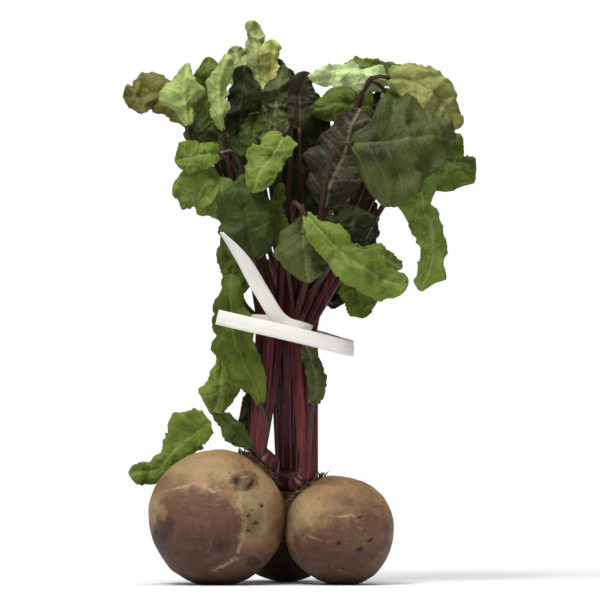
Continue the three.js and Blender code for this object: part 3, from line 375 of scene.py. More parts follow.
# The strap's middle line with the way its width points.
STRAP_ROUTE = [
    ((-39, -24, 159), ACROSS), ((-20, -26, 154.5), ACROSS), ((0, -27, 150), ACROSS),
    ((21, -26, 145), ACROSS), ((37, -21, 141), ACROSS), ((42, -8, 141), UPRIGHT),
    ((35, 12, 144), UPRIGHT), ((21, 29, 149), UPRIGHT), ((1, 36, 153), UPRIGHT),
    ((-17, 28, 156), UPRIGHT), ((-22, 12, 157), UPRIGHT), ((-16, -5, 157), UPRIGHT),
    ((0, -12, 155), UPRIGHT), ((12, -13, 152), UPRIGHT), ((16, -16.5, 150), (0.4, 0, 0.9)),
    ((11, -20, 151), (0.7, 0, 0.7)), ((-1, -20, 157), RISING), ((-12, -26, 173), RISING),
    ((-24, -35, 193), (0.6, -0.6, 0.4)), ((-36, -40, 208), (0.1, -1, 0.1)),
]


def count_setting(name, description, default, low, high):
    return bpy.props.IntProperty(name=name, description=description, default=default, min=low, max=high)


def length_setting(name, description, default, low, high):
    return bpy.props.FloatProperty(
        name=name, description=description, default=default, min=low, max=high,
        subtype="DISTANCE", unit="LENGTH",
    )


def share_setting(name, description, default, high):
    return bpy.props.FloatProperty(
        name=name, description=description, default=default, min=0, max=high, subtype="FACTOR"
    )


def colour_setting(name, description, default):
    return bpy.props.FloatVectorProperty(
        name=name, description=description, default=default, min=0, max=1, size=3, subtype="COLOR"
    )


class RootSettings(bpy.types.PropertyGroup):
    """Sizes and colours of the roots."""

    rows: count_setting("Rows", "Rows of faces on a root", 130, 24, 200)
    relief: length_setting("Relief", "Height of the skin's small bumps", 0.0012, 0, 0.004)
    skin: colour_setting("Skin", "Tan upper skin", (0.33, 0.19, 0.085))
    mauve: colour_setting("Mauve", "Brownish skin of the sides", (0.102, 0.046, 0.03))
    purple: colour_setting("Purple", "Purple skin lower down", (0.06, 0.022, 0.017))


class StalkSettings(bpy.types.PropertyGroup):
    """Sizes and colours of the stalks."""

    ribs: count_setting("Ribs", "Ribs round a stalk", 4, 3, 9)
    rib_depth: share_setting("Rib depth", "Depth of the grooves as a share of the radius", 0.24, 0.4)
    flesh: colour_setting("Crimson", "Colour of the stalks", (0.095, 0.012, 0.016))
    # The paler ridges are partly a painted highlight along their crests.
    ridge: colour_setting("Ridge", "Colour of the paler ridges", (0.2, 0.045, 0.05))


class LeafSettings(bpy.types.PropertyGroup):
    """Sizes of the blades."""

    rows: count_setting("Rows", "Rows of faces along a blade", 60, 12, 80)
    columns: count_setting("Columns", "Faces across a blade", 30, 8, 60)
    thickness: length_setting("Thickness", "Thickness of a blade", 0.0006, 0.0002, 0.002)
    pucker: length_setting("Pucker", "How far the blade bulges between its veins", 0.001, 0, 0.003)
    crease: length_setting("Crease", "Depth of the creases of a limp blade", 0.003, 0, 0.006)
    ragged: share_setting("Ragged", "How uneven the edge is, as a share of the half width", 0.07, 0.4)
    teeth: length_setting("Teeth", "Height of the small teeth of the edge", 0.0011, 0, 0.004)


class TieSettings(bpy.types.PropertyGroup):
    """Size and colour of the tie."""

    width: length_setting("Width", "Width of the strap", 0.009, 0.004, 0.02)
    paper: colour_setting("Strap", "Colour of the strap", (0.88, 0.85, 0.8))


class StageSettings(bpy.types.PropertyGroup):
    """The floor, the camera and the lights."""

    floor: colour_setting("Floor", "Colour of the floor", (0.95, 0.95, 0.95))
    view_width: length_setting("View width", "Width of the picture at the object", 0.36, 0.1, 2)
    distance: length_setting("Distance", "From the camera to the object", 2, 0.5, 6)
    key: bpy.props.FloatProperty(
        name="Key light", description="Power of the light from the upper left", default=29, min=0, max=200,
        subtype="POWER", unit="POWER",
    )
    ambient: share_setting("Ambient", "Strength of the light from all around", 0.34, 3)


def clamp(value, low=0.0, high=1.0):
    return max(low, min(high, value))


def smooth(low, high, value):
    share = clamp((value - low) / (high - low))
    return share * share * (3 - 2 * share)


def mix(start, end, share):
    return start + (end - start) * share


def placed(point):
    """A point of the layout in metres, in the part's frame."""
    return (point - MIDDLE) * MM


def between(numbers, share):
    """A number from an even list of them, at a share of its length, on a smooth line through them."""
    place = min(share, 0.9999) * (len(numbers) - 1)
    i = int(place)
    b = numbers[i]
    c = numbers[i + 1]
    a = numbers[i - 1] if i > 0 else b
    d = numbers[i + 2] if i + 2 < len(numbers) else c
    t = place - i
    return b + 0.5 * t * (c - a + t * (2 * a - 5 * b + 4 * c - d + t * (3 * (b - c) + d - a)))


class Spline:
    """A centripetal spline through points. Each span has the same part of the share from 0 to 1."""

    def __init__(self, points):
        self.points = [Vector(p) for p in points]

    def at(self, share):
        points = self.points
        last = len(points) - 1
        place = clamp(share) * last
        i = min(int(place), last - 1)
        w = place - i
        b = points[i]
        c = points[i + 1]
        a = points[i - 1] if i > 0 else 2 * points[0] - points[1]
        d = points[i + 2] if i + 2 <= last else 2 * points[last] - points[last - 1]
        one = max((b - a).length, 1e-6) ** 0.5
        two = max((c - b).length, 1e-6) ** 0.5
        three = max((d - c).length, 1e-6) ** 0.5
        start = ((b - a) / one - (c - a) / (one + two) + (c - b) / two) * two
        end = ((c - b) / two - (d - b) / (two + three) + (d - c) / three) * two
        square = -3 * b + 3 * c - 2 * start - end
        cube = 2 * b - 2 * c + start + end
        return b + start * w + square * w**2 + cube * w**3

    def along(self, share):
        return (self.at(min(share + 1e-4, 1)) - self.at(max(share - 1e-4, 0))).normalized()

    def length(self):
        return sum((b - a).length for a, b in zip(self.points, self.points[1:]))

    def even(self, count):
        """count + 1 points at equal distances along the spline."""
        steps = 200
        fine = [self.at(i / steps) for i in range(steps + 1)]
        run = [0.0]
        for a, b in zip(fine, fine[1:]):
            run.append(run[-1] + (b - a).length)
        out = []
        j = 0
        for i in range(count + 1):
            goal = run[-1] * i / count
            while j < steps - 1 and run[j + 1] < goal:
                j += 1
            share = clamp((goal - run[j]) / max(run[j + 1] - run[j], 1e-9))
            out.append(fine[j].lerp(fine[j + 1], share))
        return out


def grid(bm, rows, columns):
    """A grid of rows and columns. Returns its vertices as [row][column]."""
    made = bmesh.ops.create_grid(bm, x_segments=columns, y_segments=rows, size=1)
    ordered = sorted(made["verts"], key=lambda v: (round(v.co.y, 6), round(v.co.x, 6)))
    return [ordered[r * (columns + 1) : (r + 1) * (columns + 1)] for r in range(rows + 1)]


def finish_mesh(bm, name, materials, weld=0):
    """A smooth object from a bmesh, at the origin. A closed one has its seams and ends welded."""
    if weld:
        bmesh.ops.remove_doubles(bm, verts=bm.verts, dist=weld)
        bmesh.ops.recalc_face_normals(bm, faces=bm.faces)
    mesh = bpy.data.meshes.new(name)
    bm.to_mesh(mesh)
    bm.free()
    mesh.polygons.foreach_set("use_smooth", [True] * len(mesh.polygons))
    for material in materials:
        mesh.materials.append(material)
    piece = bpy.data.objects.new(name, mesh)
    bpy.context.scene.collection.objects.link(piece)
    return piece


def hand_over(piece, node):
    """A piece rides on the only body and stands for a solid if there is one."""
    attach(piece, "root")
    if node:
        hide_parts(node)


def add_node(tree, kind, sockets, **settings):
    """A node of a kind with its settings, and with a value or a link for each named socket."""
    node = tree.nodes.new("ShaderNode" + kind)
    for name, value in settings.items():
        setattr(node, name, value)
    for socket, value in sockets.items():
        connect(tree, value, node.inputs[socket])
    return node


def connect(tree, value, socket):
    if isinstance(value, Wire):
        tree.links.new(value.socket, socket)
    elif isinstance(value, tuple) and len(value) == 3 and len(socket.default_value) == 4:
        socket.default_value = (*value, 1)
    else:
        socket.default_value = value


class Wire:
    """Wraps a node's output so that sums read as sums."""

    def __init__(self, tree, socket):
        self.tree = tree
        self.socket = socket

    def math(self, operation, *values):
        node = add_node(self.tree, "Math", dict(enumerate(values)), operation=operation)
        return Wire(self.tree, node.outputs[0])

    def __add__(self, other):
        return self.math("ADD", self, other)

    def __sub__(self, other):
        return self.math("SUBTRACT", self, other)

    def __rsub__(self, other):
        return self.math("SUBTRACT", other, self)

    def __mul__(self, other):
        return self.math("MULTIPLY", self, other)

    __radd__ = __add__
    __rmul__ = __mul__

    def __abs__(self):
        return self.math("ABSOLUTE", self)

    def step(self, low, high):
        """0 below low, 1 above high and smooth between them."""
        sockets = {"Value": self, "From Min": low, "From Max": high}
        node = add_node(self.tree, "MapRange", sockets, interpolation_type="SMOOTHSTEP")
        return Wire(self.tree, node.outputs[0])


def times(colour, factor):
    return tuple(min(factor * c, 1) for c in colour)


class Paint:
    """A material whose colours are laid over each other."""

    def __init__(self, name):
        self.material = bpy.data.materials.new(name)
        self.material.use_nodes = True
        self.tree = self.material.node_tree
        self.shader = self.tree.nodes["Principled BSDF"]
        self.place = self.node("TexCoord", {}, "Object")
        self.colour = None

    def node(self, kind, sockets, output=0, **settings):
        return Wire(self.tree, add_node(self.tree, kind, sockets, **settings).outputs[output])

    def put(self, **values):
        """Values or links for the shader's sockets, whose names have _ for a space."""
        for name, value in values.items():
            connect(self.tree, value, self.shader.inputs[name.replace("_", " ")])

    def noise(self, scale, detail=3, rough=0.5, place=None):
        sockets = {"Vector": place or self.place, "Scale": scale, "Detail": detail, "Roughness": rough}
        return self.node("TexNoise", sockets)

    def cells(self, scale):
        """How far a place is from the nearest border between cells."""
        return self.node("TexVoronoi", {"Vector": self.place, "Scale": scale}, feature="DISTANCE_TO_EDGE")

    def mask(self, name, channel):
        """One channel of a colour attribute."""
        marks = self.node("Attribute", {}, "Color", attribute_name=name)
        return self.node("SeparateColor", {0: marks}, channel)

    def mix(self, share, first, second):
        """A mix of two colours. The numbers are those of the node's colour sockets."""
        return self.node("Mix", {0: share, 6: first, 7: second}, 2, data_type="RGBA")

    def shades(self, share, colour, dark, light):
        """A darker and a lighter shade of one colour."""
        return self.mix(share, times(colour, dark), times(colour, light))

    def lay(self, share, colour):
        """Lays another colour over the ones before it."""
        self.colour = self.mix(share, self.colour, colour)

    def stretched(self, x, y, z):
        """The place in the object, scaled by axis."""
        return self.node("VectorMath", {0: self.place, 1: (x, y, z)}, operation="MULTIPLY")

    def bump(self, height, strength, distance):
        return self.node("Bump", {"Strength": strength, "Distance": distance, "Height": height})


# Colours of the marks on the skin and the stalks, and of the dry parts. The pit colour also lays
# painted shade, and the stalk shade is painted shade.
KHAKI = (0.35, 0.26, 0.13)
DUST = (0.17, 0.11, 0.065)
SPECKLE = (0.3, 0.2, 0.12)
SCAB = (0.12, 0.07, 0.028)
PIT_AND_SHADE = (0.034, 0.014, 0.009)
SCRATCH = (0.42, 0.32, 0.22)
CRACK = (0.36, 0.26, 0.17)
FLECK = (0.05, 0.028, 0.018)
STALK_SHADE = (0.04, 0.02, 0.011)
STALK_BLOTCH = (0.03, 0.01, 0.01)
DRY_EDGE = (0.15, 0.1, 0.04)
DRY_SPOT = (0.06, 0.03, 0.015)
FIBRE_DARK = (0.045, 0.02, 0.011)
FIBRE_PALE = (0.16, 0.09, 0.045)


def skin_material(settings):
    """The tones hold mauve, purple and khaki, and the marks hold what is dark, pale and brown. What is dark
    is the pits, the crown, the dark patches and the painted shade near the floor.
    """
    paint = Paint("beet_skin")
    broad = paint.noise(32, 4, 0.6)
    fine = paint.noise(230, 5, 0.7)
    grain = paint.noise(1, 4, 0.6, paint.stretched(90, 90, 260))
    crack = 0.014 - abs(paint.noise(34, 2, 0.55) - 0.5)
    paint.colour = paint.shades(broad.step(0.3, 0.68), settings.skin, 0.5, 1.2)
    paint.lay(paint.mask("skin_tones", 2) * (broad.step(0.3, 0.6) * 0.5 + 0.25), KHAKI)
    mauve = paint.shades(fine.step(0.3, 0.7), settings.mauve, 0.7, 1.25)
    paint.lay(paint.mask("skin_tones", 0) * 0.9, mauve)
    purple = paint.shades(broad.step(0.35, 0.65), settings.purple, 0.75, 1.4)
    paint.lay(paint.mask("skin_tones", 1) * 0.85, purple)
    paint.lay(grain.step(0.5, 0.72) * 0.3, DUST)
    paint.lay(fine.step(0.6, 0.78) * 0.3, SPECKLE)
    paint.lay(paint.mask("skin_marks_and_shade", 2) * (fine.step(0.3, 0.55) * 0.5 + 0.4), SCAB)
    # Pits and the dark crown, with painted shade: most dark patches and the skin near the floor.
    paint.lay(paint.mask("skin_marks_and_shade", 0) * 0.85, PIT_AND_SHADE)
    paint.lay(paint.mask("skin_marks_and_shade", 1) * fine.step(0.4, 0.56) * 0.75, SCRATCH)
    paint.lay(crack.step(0, 0.014) * fine.step(0.42, 0.58) * broad.step(0.45, 0.6) * 0.3, CRACK)
    paint.lay(paint.noise(340, 2, 0.6).step(0.66, 0.74) * 0.65, FLECK)
    height = fine + grain * 0.8 + paint.noise(90, 3, 0.6)
    paint.put(
        Base_Color=paint.colour, Roughness=fine.step(0.2, 0.8) * 0.2 + 0.42, Specular_IOR_Level=0.22,
        Normal=paint.bump(height, 0.8, settings.relief),
    )
    return paint.material


def stalk_material(settings):
    """The marks hold the paler ridges, partly a painted highlight along their crests, and the painted shade
    deep in the bunch.
    """
    paint = Paint("beet_stalk")
    streaks = paint.noise(1, 3, 0.5, paint.stretched(420, 420, 26))
    blotches = paint.noise(70, 3, 0.6)
    paint.colour = paint.shades(streaks.step(0.35, 0.7), settings.flesh, 0.5, 1.5)
    # Paler ridges, partly a painted highlight along the crests.
    paint.lay(paint.mask("stalk_ridge_sheen_and_shade", 0) * blotches.step(0.25, 0.6), tuple(settings.ridge))
    paint.lay(paint.mask("stalk_ridge_sheen_and_shade", 1) * 0.9, STALK_SHADE)
    paint.lay(blotches.step(0.56, 0.74) * 0.6, STALK_BLOTCH)
    paint.put(
        Base_Color=paint.colour, Roughness=streaks.step(0.2, 0.8) * 0.2 + 0.28, Specular_IOR_Level=0.3,
        Normal=paint.bump(streaks + blotches * 0.4, 0.35, 0.0007),
    )
    return paint.material


def leaf_material(name, face, patch_and_side_shading, veins, browned):
    """One face of a blade. The marks hold the veins, the dry margin and the patches, and the patches also
    hold the painted light and shade on the two sides of the midrib.
    """
    paint = Paint(name)
    broad = paint.noise(30, 4, 0.55)
    fine = paint.noise(260, 4, 0.65)
    net = paint.cells(330)
    crinkle = paint.noise(120, 4, 0.6)
    paint.colour = paint.mix(broad.step(0.36, 0.66), face, patch_and_side_shading)
    paint.lay(fine.step(0.35, 0.75) * 0.4 + crinkle.step(0.45, 0.7) * 0.4, times(face, 0.55))
    # Patches, with painted light and shade on the two sides of the midrib.
    paint.lay(paint.mask("leaf_marks_and_side_shading", 2) * 0.65, patch_and_side_shading)
    paint.lay((0.1 - net).step(0, 0.1) * 0.1, veins)
    paint.lay(paint.mask("leaf_marks_and_side_shading", 0) * 0.5, veins)
    dry = paint.mask("leaf_marks_and_side_shading", 1) + broad.step(0.5, 0.8) * browned - 0.25
    paint.lay(dry.step(0.25, 0.8) * browned, DRY_EDGE)
    paint.lay(paint.noise(150, 2, 0.5).step(0.68, 0.74) * browned, DRY_SPOT)
    paint.put(
        Base_Color=paint.colour, Roughness=broad.step(0.3, 0.7) * 0.2 + 0.45, Specular_IOR_Level=0.17,
        Normal=paint.bump(fine * 0.2 + crinkle + net.step(0, 0.2) * 0.12, 0.6, 0.0016),
    )
    return paint.material


def strap_material(settings):
    paint = Paint("tie_paper")
    soft = paint.noise(60, 3, 0.5)
    share = soft.step(0.3, 0.7)
    paint.put(
        Base_Color=paint.shades(share, settings.paper, 1, 0.9), Roughness=share * 0.15 + 0.4,
        Normal=paint.bump(soft, 0.2, 0.0005),
    )
    return paint.material


def fibre_material():
    paint = Paint("dry_fibre")
    colour = paint.mix(paint.noise(300, 3, 0.6).step(0.35, 0.65), FIBRE_DARK, FIBRE_PALE)
    paint.put(Base_Color=colour, Roughness=paint.noise(120, 2, 0.5) * 0.3 + 0.6)
    return paint.material


def root_centre(root):
    return Vector((*root["at"], root["radius"] - FLAT_DEPTH))


def root_axis(root):
    return Vector(root["lean"]).normalized()


def crown_of(root):
    return root_centre(root) + root_axis(root) * root["radius"] * CROWN_HEIGHT


# The outline of a globe, as radii and heights: the tail's end, then the globe between two turns from
# the top, then the crown. The shares say how much of the rows the tail and the crown take.
TAIL = [(0, -1.015), (0.06, -1.01), (0.13, -0.993)]
LOWEST = 0.94 * math.pi
HIGHEST = 0.12 * math.pi
TAIL_SHARE = 0.06
CROWN_SHARE = 0.1


def root_profile(share):
    """Radius and height of the outline, from the tail's end, 0, to the crown's middle, 1."""
    if share < TAIL_SHARE:
        place = share / TAIL_SHARE * 2
        i = min(int(place), 1)
        (r0, h0), (r1, h1) = TAIL[i], TAIL[i + 1]
        return mix(r0, r1, place - i), mix(h0, h1, place - i)
    if share > 1 - CROWN_SHARE:
        out = (1 - share) / CROWN_SHARE
        rise = CROWN_HEIGHT - 0.012 * smooth(0.6, 1, out)
        return CROWN_RIM * out, mix(rise, math.cos(HIGHEST), smooth(0.72, 1, out))
    turn = mix(LOWEST, HIGHEST, (share - TAIL_SHARE) / (1 - TAIL_SHARE - CROWN_SHARE))
    return math.sin(turn), math.cos(turn)


def marks_at(name, point):
    """How much of each mark there is at a point of a root's skin."""
    shares = dict.fromkeys(MARKS, 0.0)
    if point.y > ROOTS[name]["at"][1] + PATCH_REACH:
        return shares
    wobble = 0.34 * noise.noise(point * 0.13) + 0.2 * noise.noise(point * 0.45)
    bend = 2.2 * noise.noise(point * 0.12 + Vector((3, 1, 8)))
    for kind, patches in PATCHES[name].items():
        for (x, z), (half_x, half_z), tilt, soft in patches:
            turn = math.radians(tilt)
            dx = point.x - x + bend
            dz = point.z - z + bend
            across = (dx * math.cos(turn) + dz * math.sin(turn)) / half_x
            up = (-dx * math.sin(turn) + dz * math.cos(turn)) / half_z
            share = 1 - smooth(1 - soft, 1 + soft, math.hypot(across, up) + wobble)
            shares[kind] = max(shares[kind], share)
    return shares


def skin_relief(root, unit, point, marks):
    """How far the skin stands out at a place, as a share of the radius."""
    lumps = root["lumps"]
    x, y, z = unit
    lump = 0.016 * math.sin(3 * x + 2 * z + lumps) + 0.012 * math.sin(4 * y - 3 * x + 2 * lumps)
    calm = 1 - smooth(0.8, 0.95, y)
    rough = 0.007 * noise.fractal(point * 0.09, 0.6, 2.0, 4) + 0.003 * noise.noise(point * 0.55)
    rings = 0.0016 * math.sin(34 * y + 4 * noise.noise(point * 0.06))
    scars = sum(height * marks[kind] for kind, height in SCARS.items())
    return (lump + rings) * calm + rough + scars


def build_root(name, rows, material):
    root = ROOTS[name]
    radius = root["radius"]
    turn_up = Vector((0, 1, 0)).rotation_difference(root_axis(root)).to_matrix()
    centre = root_centre(root)
    columns = rows * 5 // 3
    bm = bmesh.new()
    tones = bm.verts.layers.float_color.new("skin_tones")
    # The skin's marks, with painted shade in the first channel.
    scars = bm.verts.layers.float_color.new("skin_marks_and_shade")
    lattice = grid(bm, rows, columns)
    for r, line in enumerate(lattice):
        wide, high = root_profile(r / rows)
        for c, vertex in enumerate(line):
            angle = FULL_TURN * (c % columns) / columns
            unit = Vector((wide * math.sin(angle), high, wide * math.cos(angle)))
            even = centre + turn_up @ (unit * radius)
            marks = marks_at(name, even)
            point = centre + turn_up @ (unit * radius * (1 + skin_relief(root, unit, even, marks)))
            low = 1 - smooth(0.1, 0.75, point.z / (2 * radius) + 0.25 * noise.noise(point * 0.1))
            behind = smooth(root["at"][1], root["at"][1] + 20, point.y)
            # Painted shade, darker towards the floor.
            under = 1 - smooth(0, 34, point.z)
            crown = smooth(0.87, 0.95, unit.y + 0.03 * noise.noise(point * 0.4))
            mauve = max(marks["mauve"], low * max(behind, 0.45))
            purple = max(marks["purple"], 0.8 * low * low)
            vertex[tones] = (clamp(mauve), clamp(purple), clamp(marks["khaki"]), 1)
            # The first channel: pits, the crown, the dark patches and the painted shade near the floor.
            dark = max(marks["dark"], marks["pit"], 0.65 * under, 0.75 * crown)
            vertex[scars] = (clamp(dark), clamp(marks["pale"]), clamp(max(marks["brown"], crown)), 1)
            point.z = max(point.z, 0.0)
            vertex.co = placed(point)
    piece = finish_mesh(bm, f"root_{name}_skin", [material], 1e-6)
    hand_over(piece, f"beetroot_{name}")


def bar(bm, points, radius_at, sides, ribs=0, depth=0.0, marks=None, mark=None):
    """A round bar along points, closed at both ends, with ribs along it."""
    rows = len(points) - 1
    lattice = grid(bm, rows + 2, sides)
    side = (points[1] - points[0]).orthogonal().normalized()
    for r, line in enumerate(lattice):
        i = min(max(r - 1, 0), rows)
        ahead = (points[min(i + 1, rows)] - points[max(i - 1, 0)]).normalized()
        side = (side - ahead * side.dot(ahead)).normalized()
        other = ahead.cross(side)
        end = r in (0, rows + 2)
        share = i / rows
        for c, vertex in enumerate(line):
            angle = FULL_TURN * (c % sides) / sides
            rib = 1 - depth * (0.5 - 0.5 * math.cos(ribs * angle + 2 * share)) if ribs else 1
            size = 0 if end else radius_at(share) * rib
            out = side * math.cos(angle) * size + other * math.sin(angle) * size
            vertex.co = placed(points[i] + out)
            if marks:
                vertex[marks] = mark(share, (rib - 1 + depth) / max(depth, 1e-6))


def bundle_places(root):
    """Where a root's stalks pass the tie."""
    angle = math.radians(root["sector"])
    out = Vector((math.cos(angle), math.sin(angle), 0))
    across = Vector((-out.y, out.x, 0))
    places = []
    for row, count in enumerate(STALK_ROWS):
        for i in range(count):
            middle = Vector((*TIE_AXIS, TIE_HEIGHT)) + out * (INNER_ROW + ROW_PITCH * row)
            places.append(middle + across * STALK_PITCH * (i - (count - 1) / 2))
    return places


def stalk_spline(root, leaf, place, parts):
    """The middle of a stalk from the crown, or from the tie if it parts from another there."""
    axis = root_axis(root)
    spread = Vector((place.x - TIE_AXIS[0], place.y - TIE_AXIS[1], 0))
    spread -= axis * spread.dot(axis)
    base = Vector(leaf["rib"][0])
    along = Spline(leaf["rib"]).along(0)
    above = base.z > TIE_HEIGHT + 2 * TIE_REACH
    if above and parts:
        points = [place]
    else:
        points = [crown_of(root) + axis * STALK_START + spread * CROWN_SPREAD]
        if above:
            points.append(Vector((place.x, place.y, TIE_HEIGHT - TIE_REACH)))
            points.append(Vector((place.x, place.y, TIE_HEIGHT + TIE_REACH)))
    return Spline([*points, *leaf["via"], base - along * LEAD_IN, base + along * LEAD_OUT])


def stalk_radius(share):
    if share < TIE_SHARE:
        return mix(CROWN_STALK, TIE_STALK, share / TIE_SHARE)
    return mix(TIE_STALK, BLADE_STALK, (share - TIE_SHARE) / (1 - TIE_SHARE))


def parted_radius(share):
    return mix(TIE_STALK * PARTED_SHARE, BLADE_STALK, share)


# The marks along a stalk: how much of the paler ridge there is, partly a painted highlight, and how
# deep in the painted shade it lies.
def whole_mark(share, ridge):
    return 0.6 * smooth(0.72, 1, ridge) * (1 - smooth(0.25, 0.6, share)), smooth(0.35, 0.85, share), 0, 1


def parted_mark(share, ridge):
    return 0.3 * smooth(0.72, 1, ridge) * (1 - share), smooth(0, 0.9, share), 0, 1


# The collar's paler ribs, partly a painted highlight, and painted shade that is deeper near the root.
def collar_mark(share, ridge):
    return 0.15 * smooth(0.6, 1, ridge), 0.6 - 0.3 * share, 0, 1


def build_stalks(name, settings, material):
    root = ROOTS[name]
    places = bundle_places(root)
    bm = bmesh.new()
    marks = bm.verts.layers.float_color.new("stalk_ridge_sheen_and_shade")
    for i, leaf in enumerate(leaf for leaf in LEAVES.values() if leaf["root"] == name):
        parts = i >= len(places)
        spline = stalk_spline(root, leaf, places[i % len(places)], parts)
        points = spline.even(PARTED_ROWS if parts else WHOLE_ROWS)
        radius = parted_radius if parts else stalk_radius
        mark = parted_mark if parts else whole_mark
        bar(bm, points, radius, STALK_SIDES, settings.ribs, settings.rib_depth, marks, mark)
    axis = root_axis(root)
    foot = crown_of(root) + axis * 0.3
    collar = [foot + axis * COLLAR_HEIGHT * i / COLLAR_ROWS for i in range(COLLAR_ROWS + 1)]

    def collar_radius(share):
        return root["radius"] * CROWN_RADIUS * COLLAR_INSET * (1 - 0.32 * share**2)

    bar(bm, collar, collar_radius, COLLAR_SIDES, COLLAR_RIBS, COLLAR_RIB_DEPTH, marks, collar_mark)
    piece = finish_mesh(bm, f"stalks_{name}_ribbed", [material], 1e-6)
    hand_over(piece, f"stalks_{name}")


def buckle(point):
    """How far a limp blade stands out at a place. Neighbouring blades buckle alike."""
    x, y, z = point
    return CRUMPLE * (math.sin(0.27 * x + 0.1 * z + 0.2 * y) + math.sin(0.23 * z - 0.12 * x + 1.4))


def crease_at(point, depth):
    """Sharp creases and soft dents of a limp blade, the same for neighbouring blades."""
    ridge = 1 - abs(noise.noise(point * 0.07 + Vector((5, 9, 2)))) * 2
    fold = 1 - abs(noise.noise(point * 0.15 + Vector((1, 4, 7)))) * 2
    return depth * (0.7 * ridge**3 + 0.34 * fold**5 - 0.5 + 0.4 * noise.noise(point * 0.16))


def vein_share(run, reach):
    """How near a place on a blade is to a side vein: 1 on it, 0 between veins. Both are in mm."""
    line = (run - 0.75 * reach + 0.012 * reach * reach) / VEIN_STEP
    off = abs(line - math.floor(line) - 0.5) * 2
    return smooth(0.78, 1, off)


def blade_point(leaf, rib, along, across, seed, settings):
    """A point on a blade and its marks: veins, dry margin and patches, and in the patches painted light and
    shade on the two sides of the midrib.
    """
    height, count, phase = leaf["wave"]
    side = 0 if across < 0 else 1
    sign = -1 if across < 0 else 1
    half = leaf["halves"][side]
    curl = leaf["curls"][side]
    out = abs(across)
    length = rib.length()
    early = min(0.4 * half[0] / length, 0.1) * out**2
    late = min(0.7 * half[-1] / length, 0.14) * out**2
    along = early + along * (1 - early - late)
    run = along * length

    def spot(pitch, step, layer):
        """A place in the noise that goes along the edge and differs on the two sides."""
        return Vector((run * pitch, seed + step * side, layer))

    tangent = rib.along(along)
    facing = leaf["base"].lerp(leaf["tip"], along)
    sideways = tangent.cross(facing).normalized()
    up = sideways.cross(tangent).normalized()
    scallop = 1 + SCALLOP * math.sin(FULL_TURN * (2 * count * along + phase + 0.4 * side))
    torn = noise.fractal(spot(0.05, 5, 0), 0.6, 2.0, 5)
    notch = NOTCH * smooth(0.4, 0.5, noise.noise(spot(0.11, 7, 4)))
    width = between(half, along) * scallop
    width *= 1 + settings.ragged * out**3 * (torn - notch)
    width += settings.teeth / MM * out**6 * noise.fractal(spot(0.24, 2, 6), 0.6, 2.0, 3)
    bend = curl * out
    reach = width * math.sin(bend) / curl
    lift = width * (1 - math.cos(bend)) / curl
    normal = up * math.cos(bend) - sideways * sign * math.sin(bend)
    middle = rib.at(along) + sideways * sign * reach + up * lift
    ripple = height * out**2 * math.sin(FULL_TURN * (count * along + phase + 0.3 * side))
    ruffle = RUFFLE * out**3 * noise.noise(spot(0.13, 9, 1))
    roll = -ROLL * out**6 * noise.noise(spot(0.07, 3, 8)) * min(width * 0.15, 2)
    limp = math.copysign(1, -leaf["base"].y) * smooth(0, 0.3, along)
    vein = vein_share(run, out * width) * (1 - 0.55 * out)
    midrib = 1 - smooth(0.5, 1.5, out * width)
    pucker = settings.pucker / MM * (1 - vein) * smooth(0.5, 4, out * width)
    sunk = -GROOVE * (1 - smooth(0.3, 2, out * width)) * (1 - 0.7 * along)
    shift = ripple + ruffle + roll + pucker + sunk
    shift += limp * (buckle(middle) + crease_at(middle, settings.crease / MM))
    flat = Vector((run * 0.1, across * width * 0.1, seed))
    dry = smooth(0.82, 1, out) * (0.5 + 1.2 * noise.noise(flat * 2)) + smooth(0.92, 1, along) * 0.5
    # Patches at random, with painted light and shade: one side of the midrib gets more of them, the other
    # less.
    patch_and_side_shading = smooth(-0.15, 0.4, noise.noise(flat * 0.8 + Vector((3, 7, 1))) + 0.6 * (side - 0.5) * out)
    return middle + normal * shift, (clamp(max(vein * 0.75, midrib)), clamp(dry), clamp(patch_and_side_shading), 1)


def build_leaf(name, leaf, settings, materials, seed):
    rib = Spline(leaf["rib"])
    rows = settings.rows
    columns = settings.columns
    bm = bmesh.new()
    marks = bm.verts.layers.float_color.new("leaf_marks_and_side_shading")
    for r, line in enumerate(grid(bm, rows, columns)):
        for c, vertex in enumerate(line):
            point, mark = blade_point(leaf, rib, r / rows, 2 * c / columns - 1, seed, settings)
            vertex.co = placed(point)
            vertex[marks] = mark
    piece = finish_mesh(bm, f"{name}_blade", materials[leaf["look"]])
    solid = piece.modifiers.new("Thickness", "SOLIDIFY")
    solid.thickness = settings.thickness
    solid.offset = 0
    solid.material_offset = 1
    hand_over(piece, name)


def build_crown_fibres(name, material):
    """Dry leaf bases and fine fibres round a crown."""
    root = ROOTS[name]
    axis = root_axis(root)
    side = Vector((0, 0, 1)).cross(axis).normalized()
    bm = bmesh.new()
    for i in range(FIBRES):
        angle = FULL_TURN * i / FIBRES + 0.5 * noise.noise(Vector((i * 1.7, 0, root["lumps"])))
        out = Matrix.Rotation(angle, 3, axis) @ side
        size = 0.5 + 0.5 * noise.noise(Vector((i * 2.3, 4, root["lumps"])))
        length = mix(2.5, 8, clamp(size))
        foot = root_centre(root) + root["radius"] * (axis * 0.955 + out * mix(0.29, 0.37, (i % 3) / 2))
        lean = (axis + out * mix(0.5, 1.7, ((i * 7) % 11) / 10)).normalized()
        sag = out.cross(axis) * 0.5 * math.sin(3 * i) - axis * 0.35
        points = [foot + length * (lean * t + sag * t * t) for t in (0, 0.25, 0.5, 0.75, 1)]
        thick = mix(0.25, 0.95, ((i * 5) % 7) / 6)
        bar(bm, points, lambda share, thick=thick: thick * (1 - 0.75 * share), 6)
    piece = finish_mesh(bm, f"crown_{name}_fibres", [material], 1e-7)
    hand_over(piece, None)


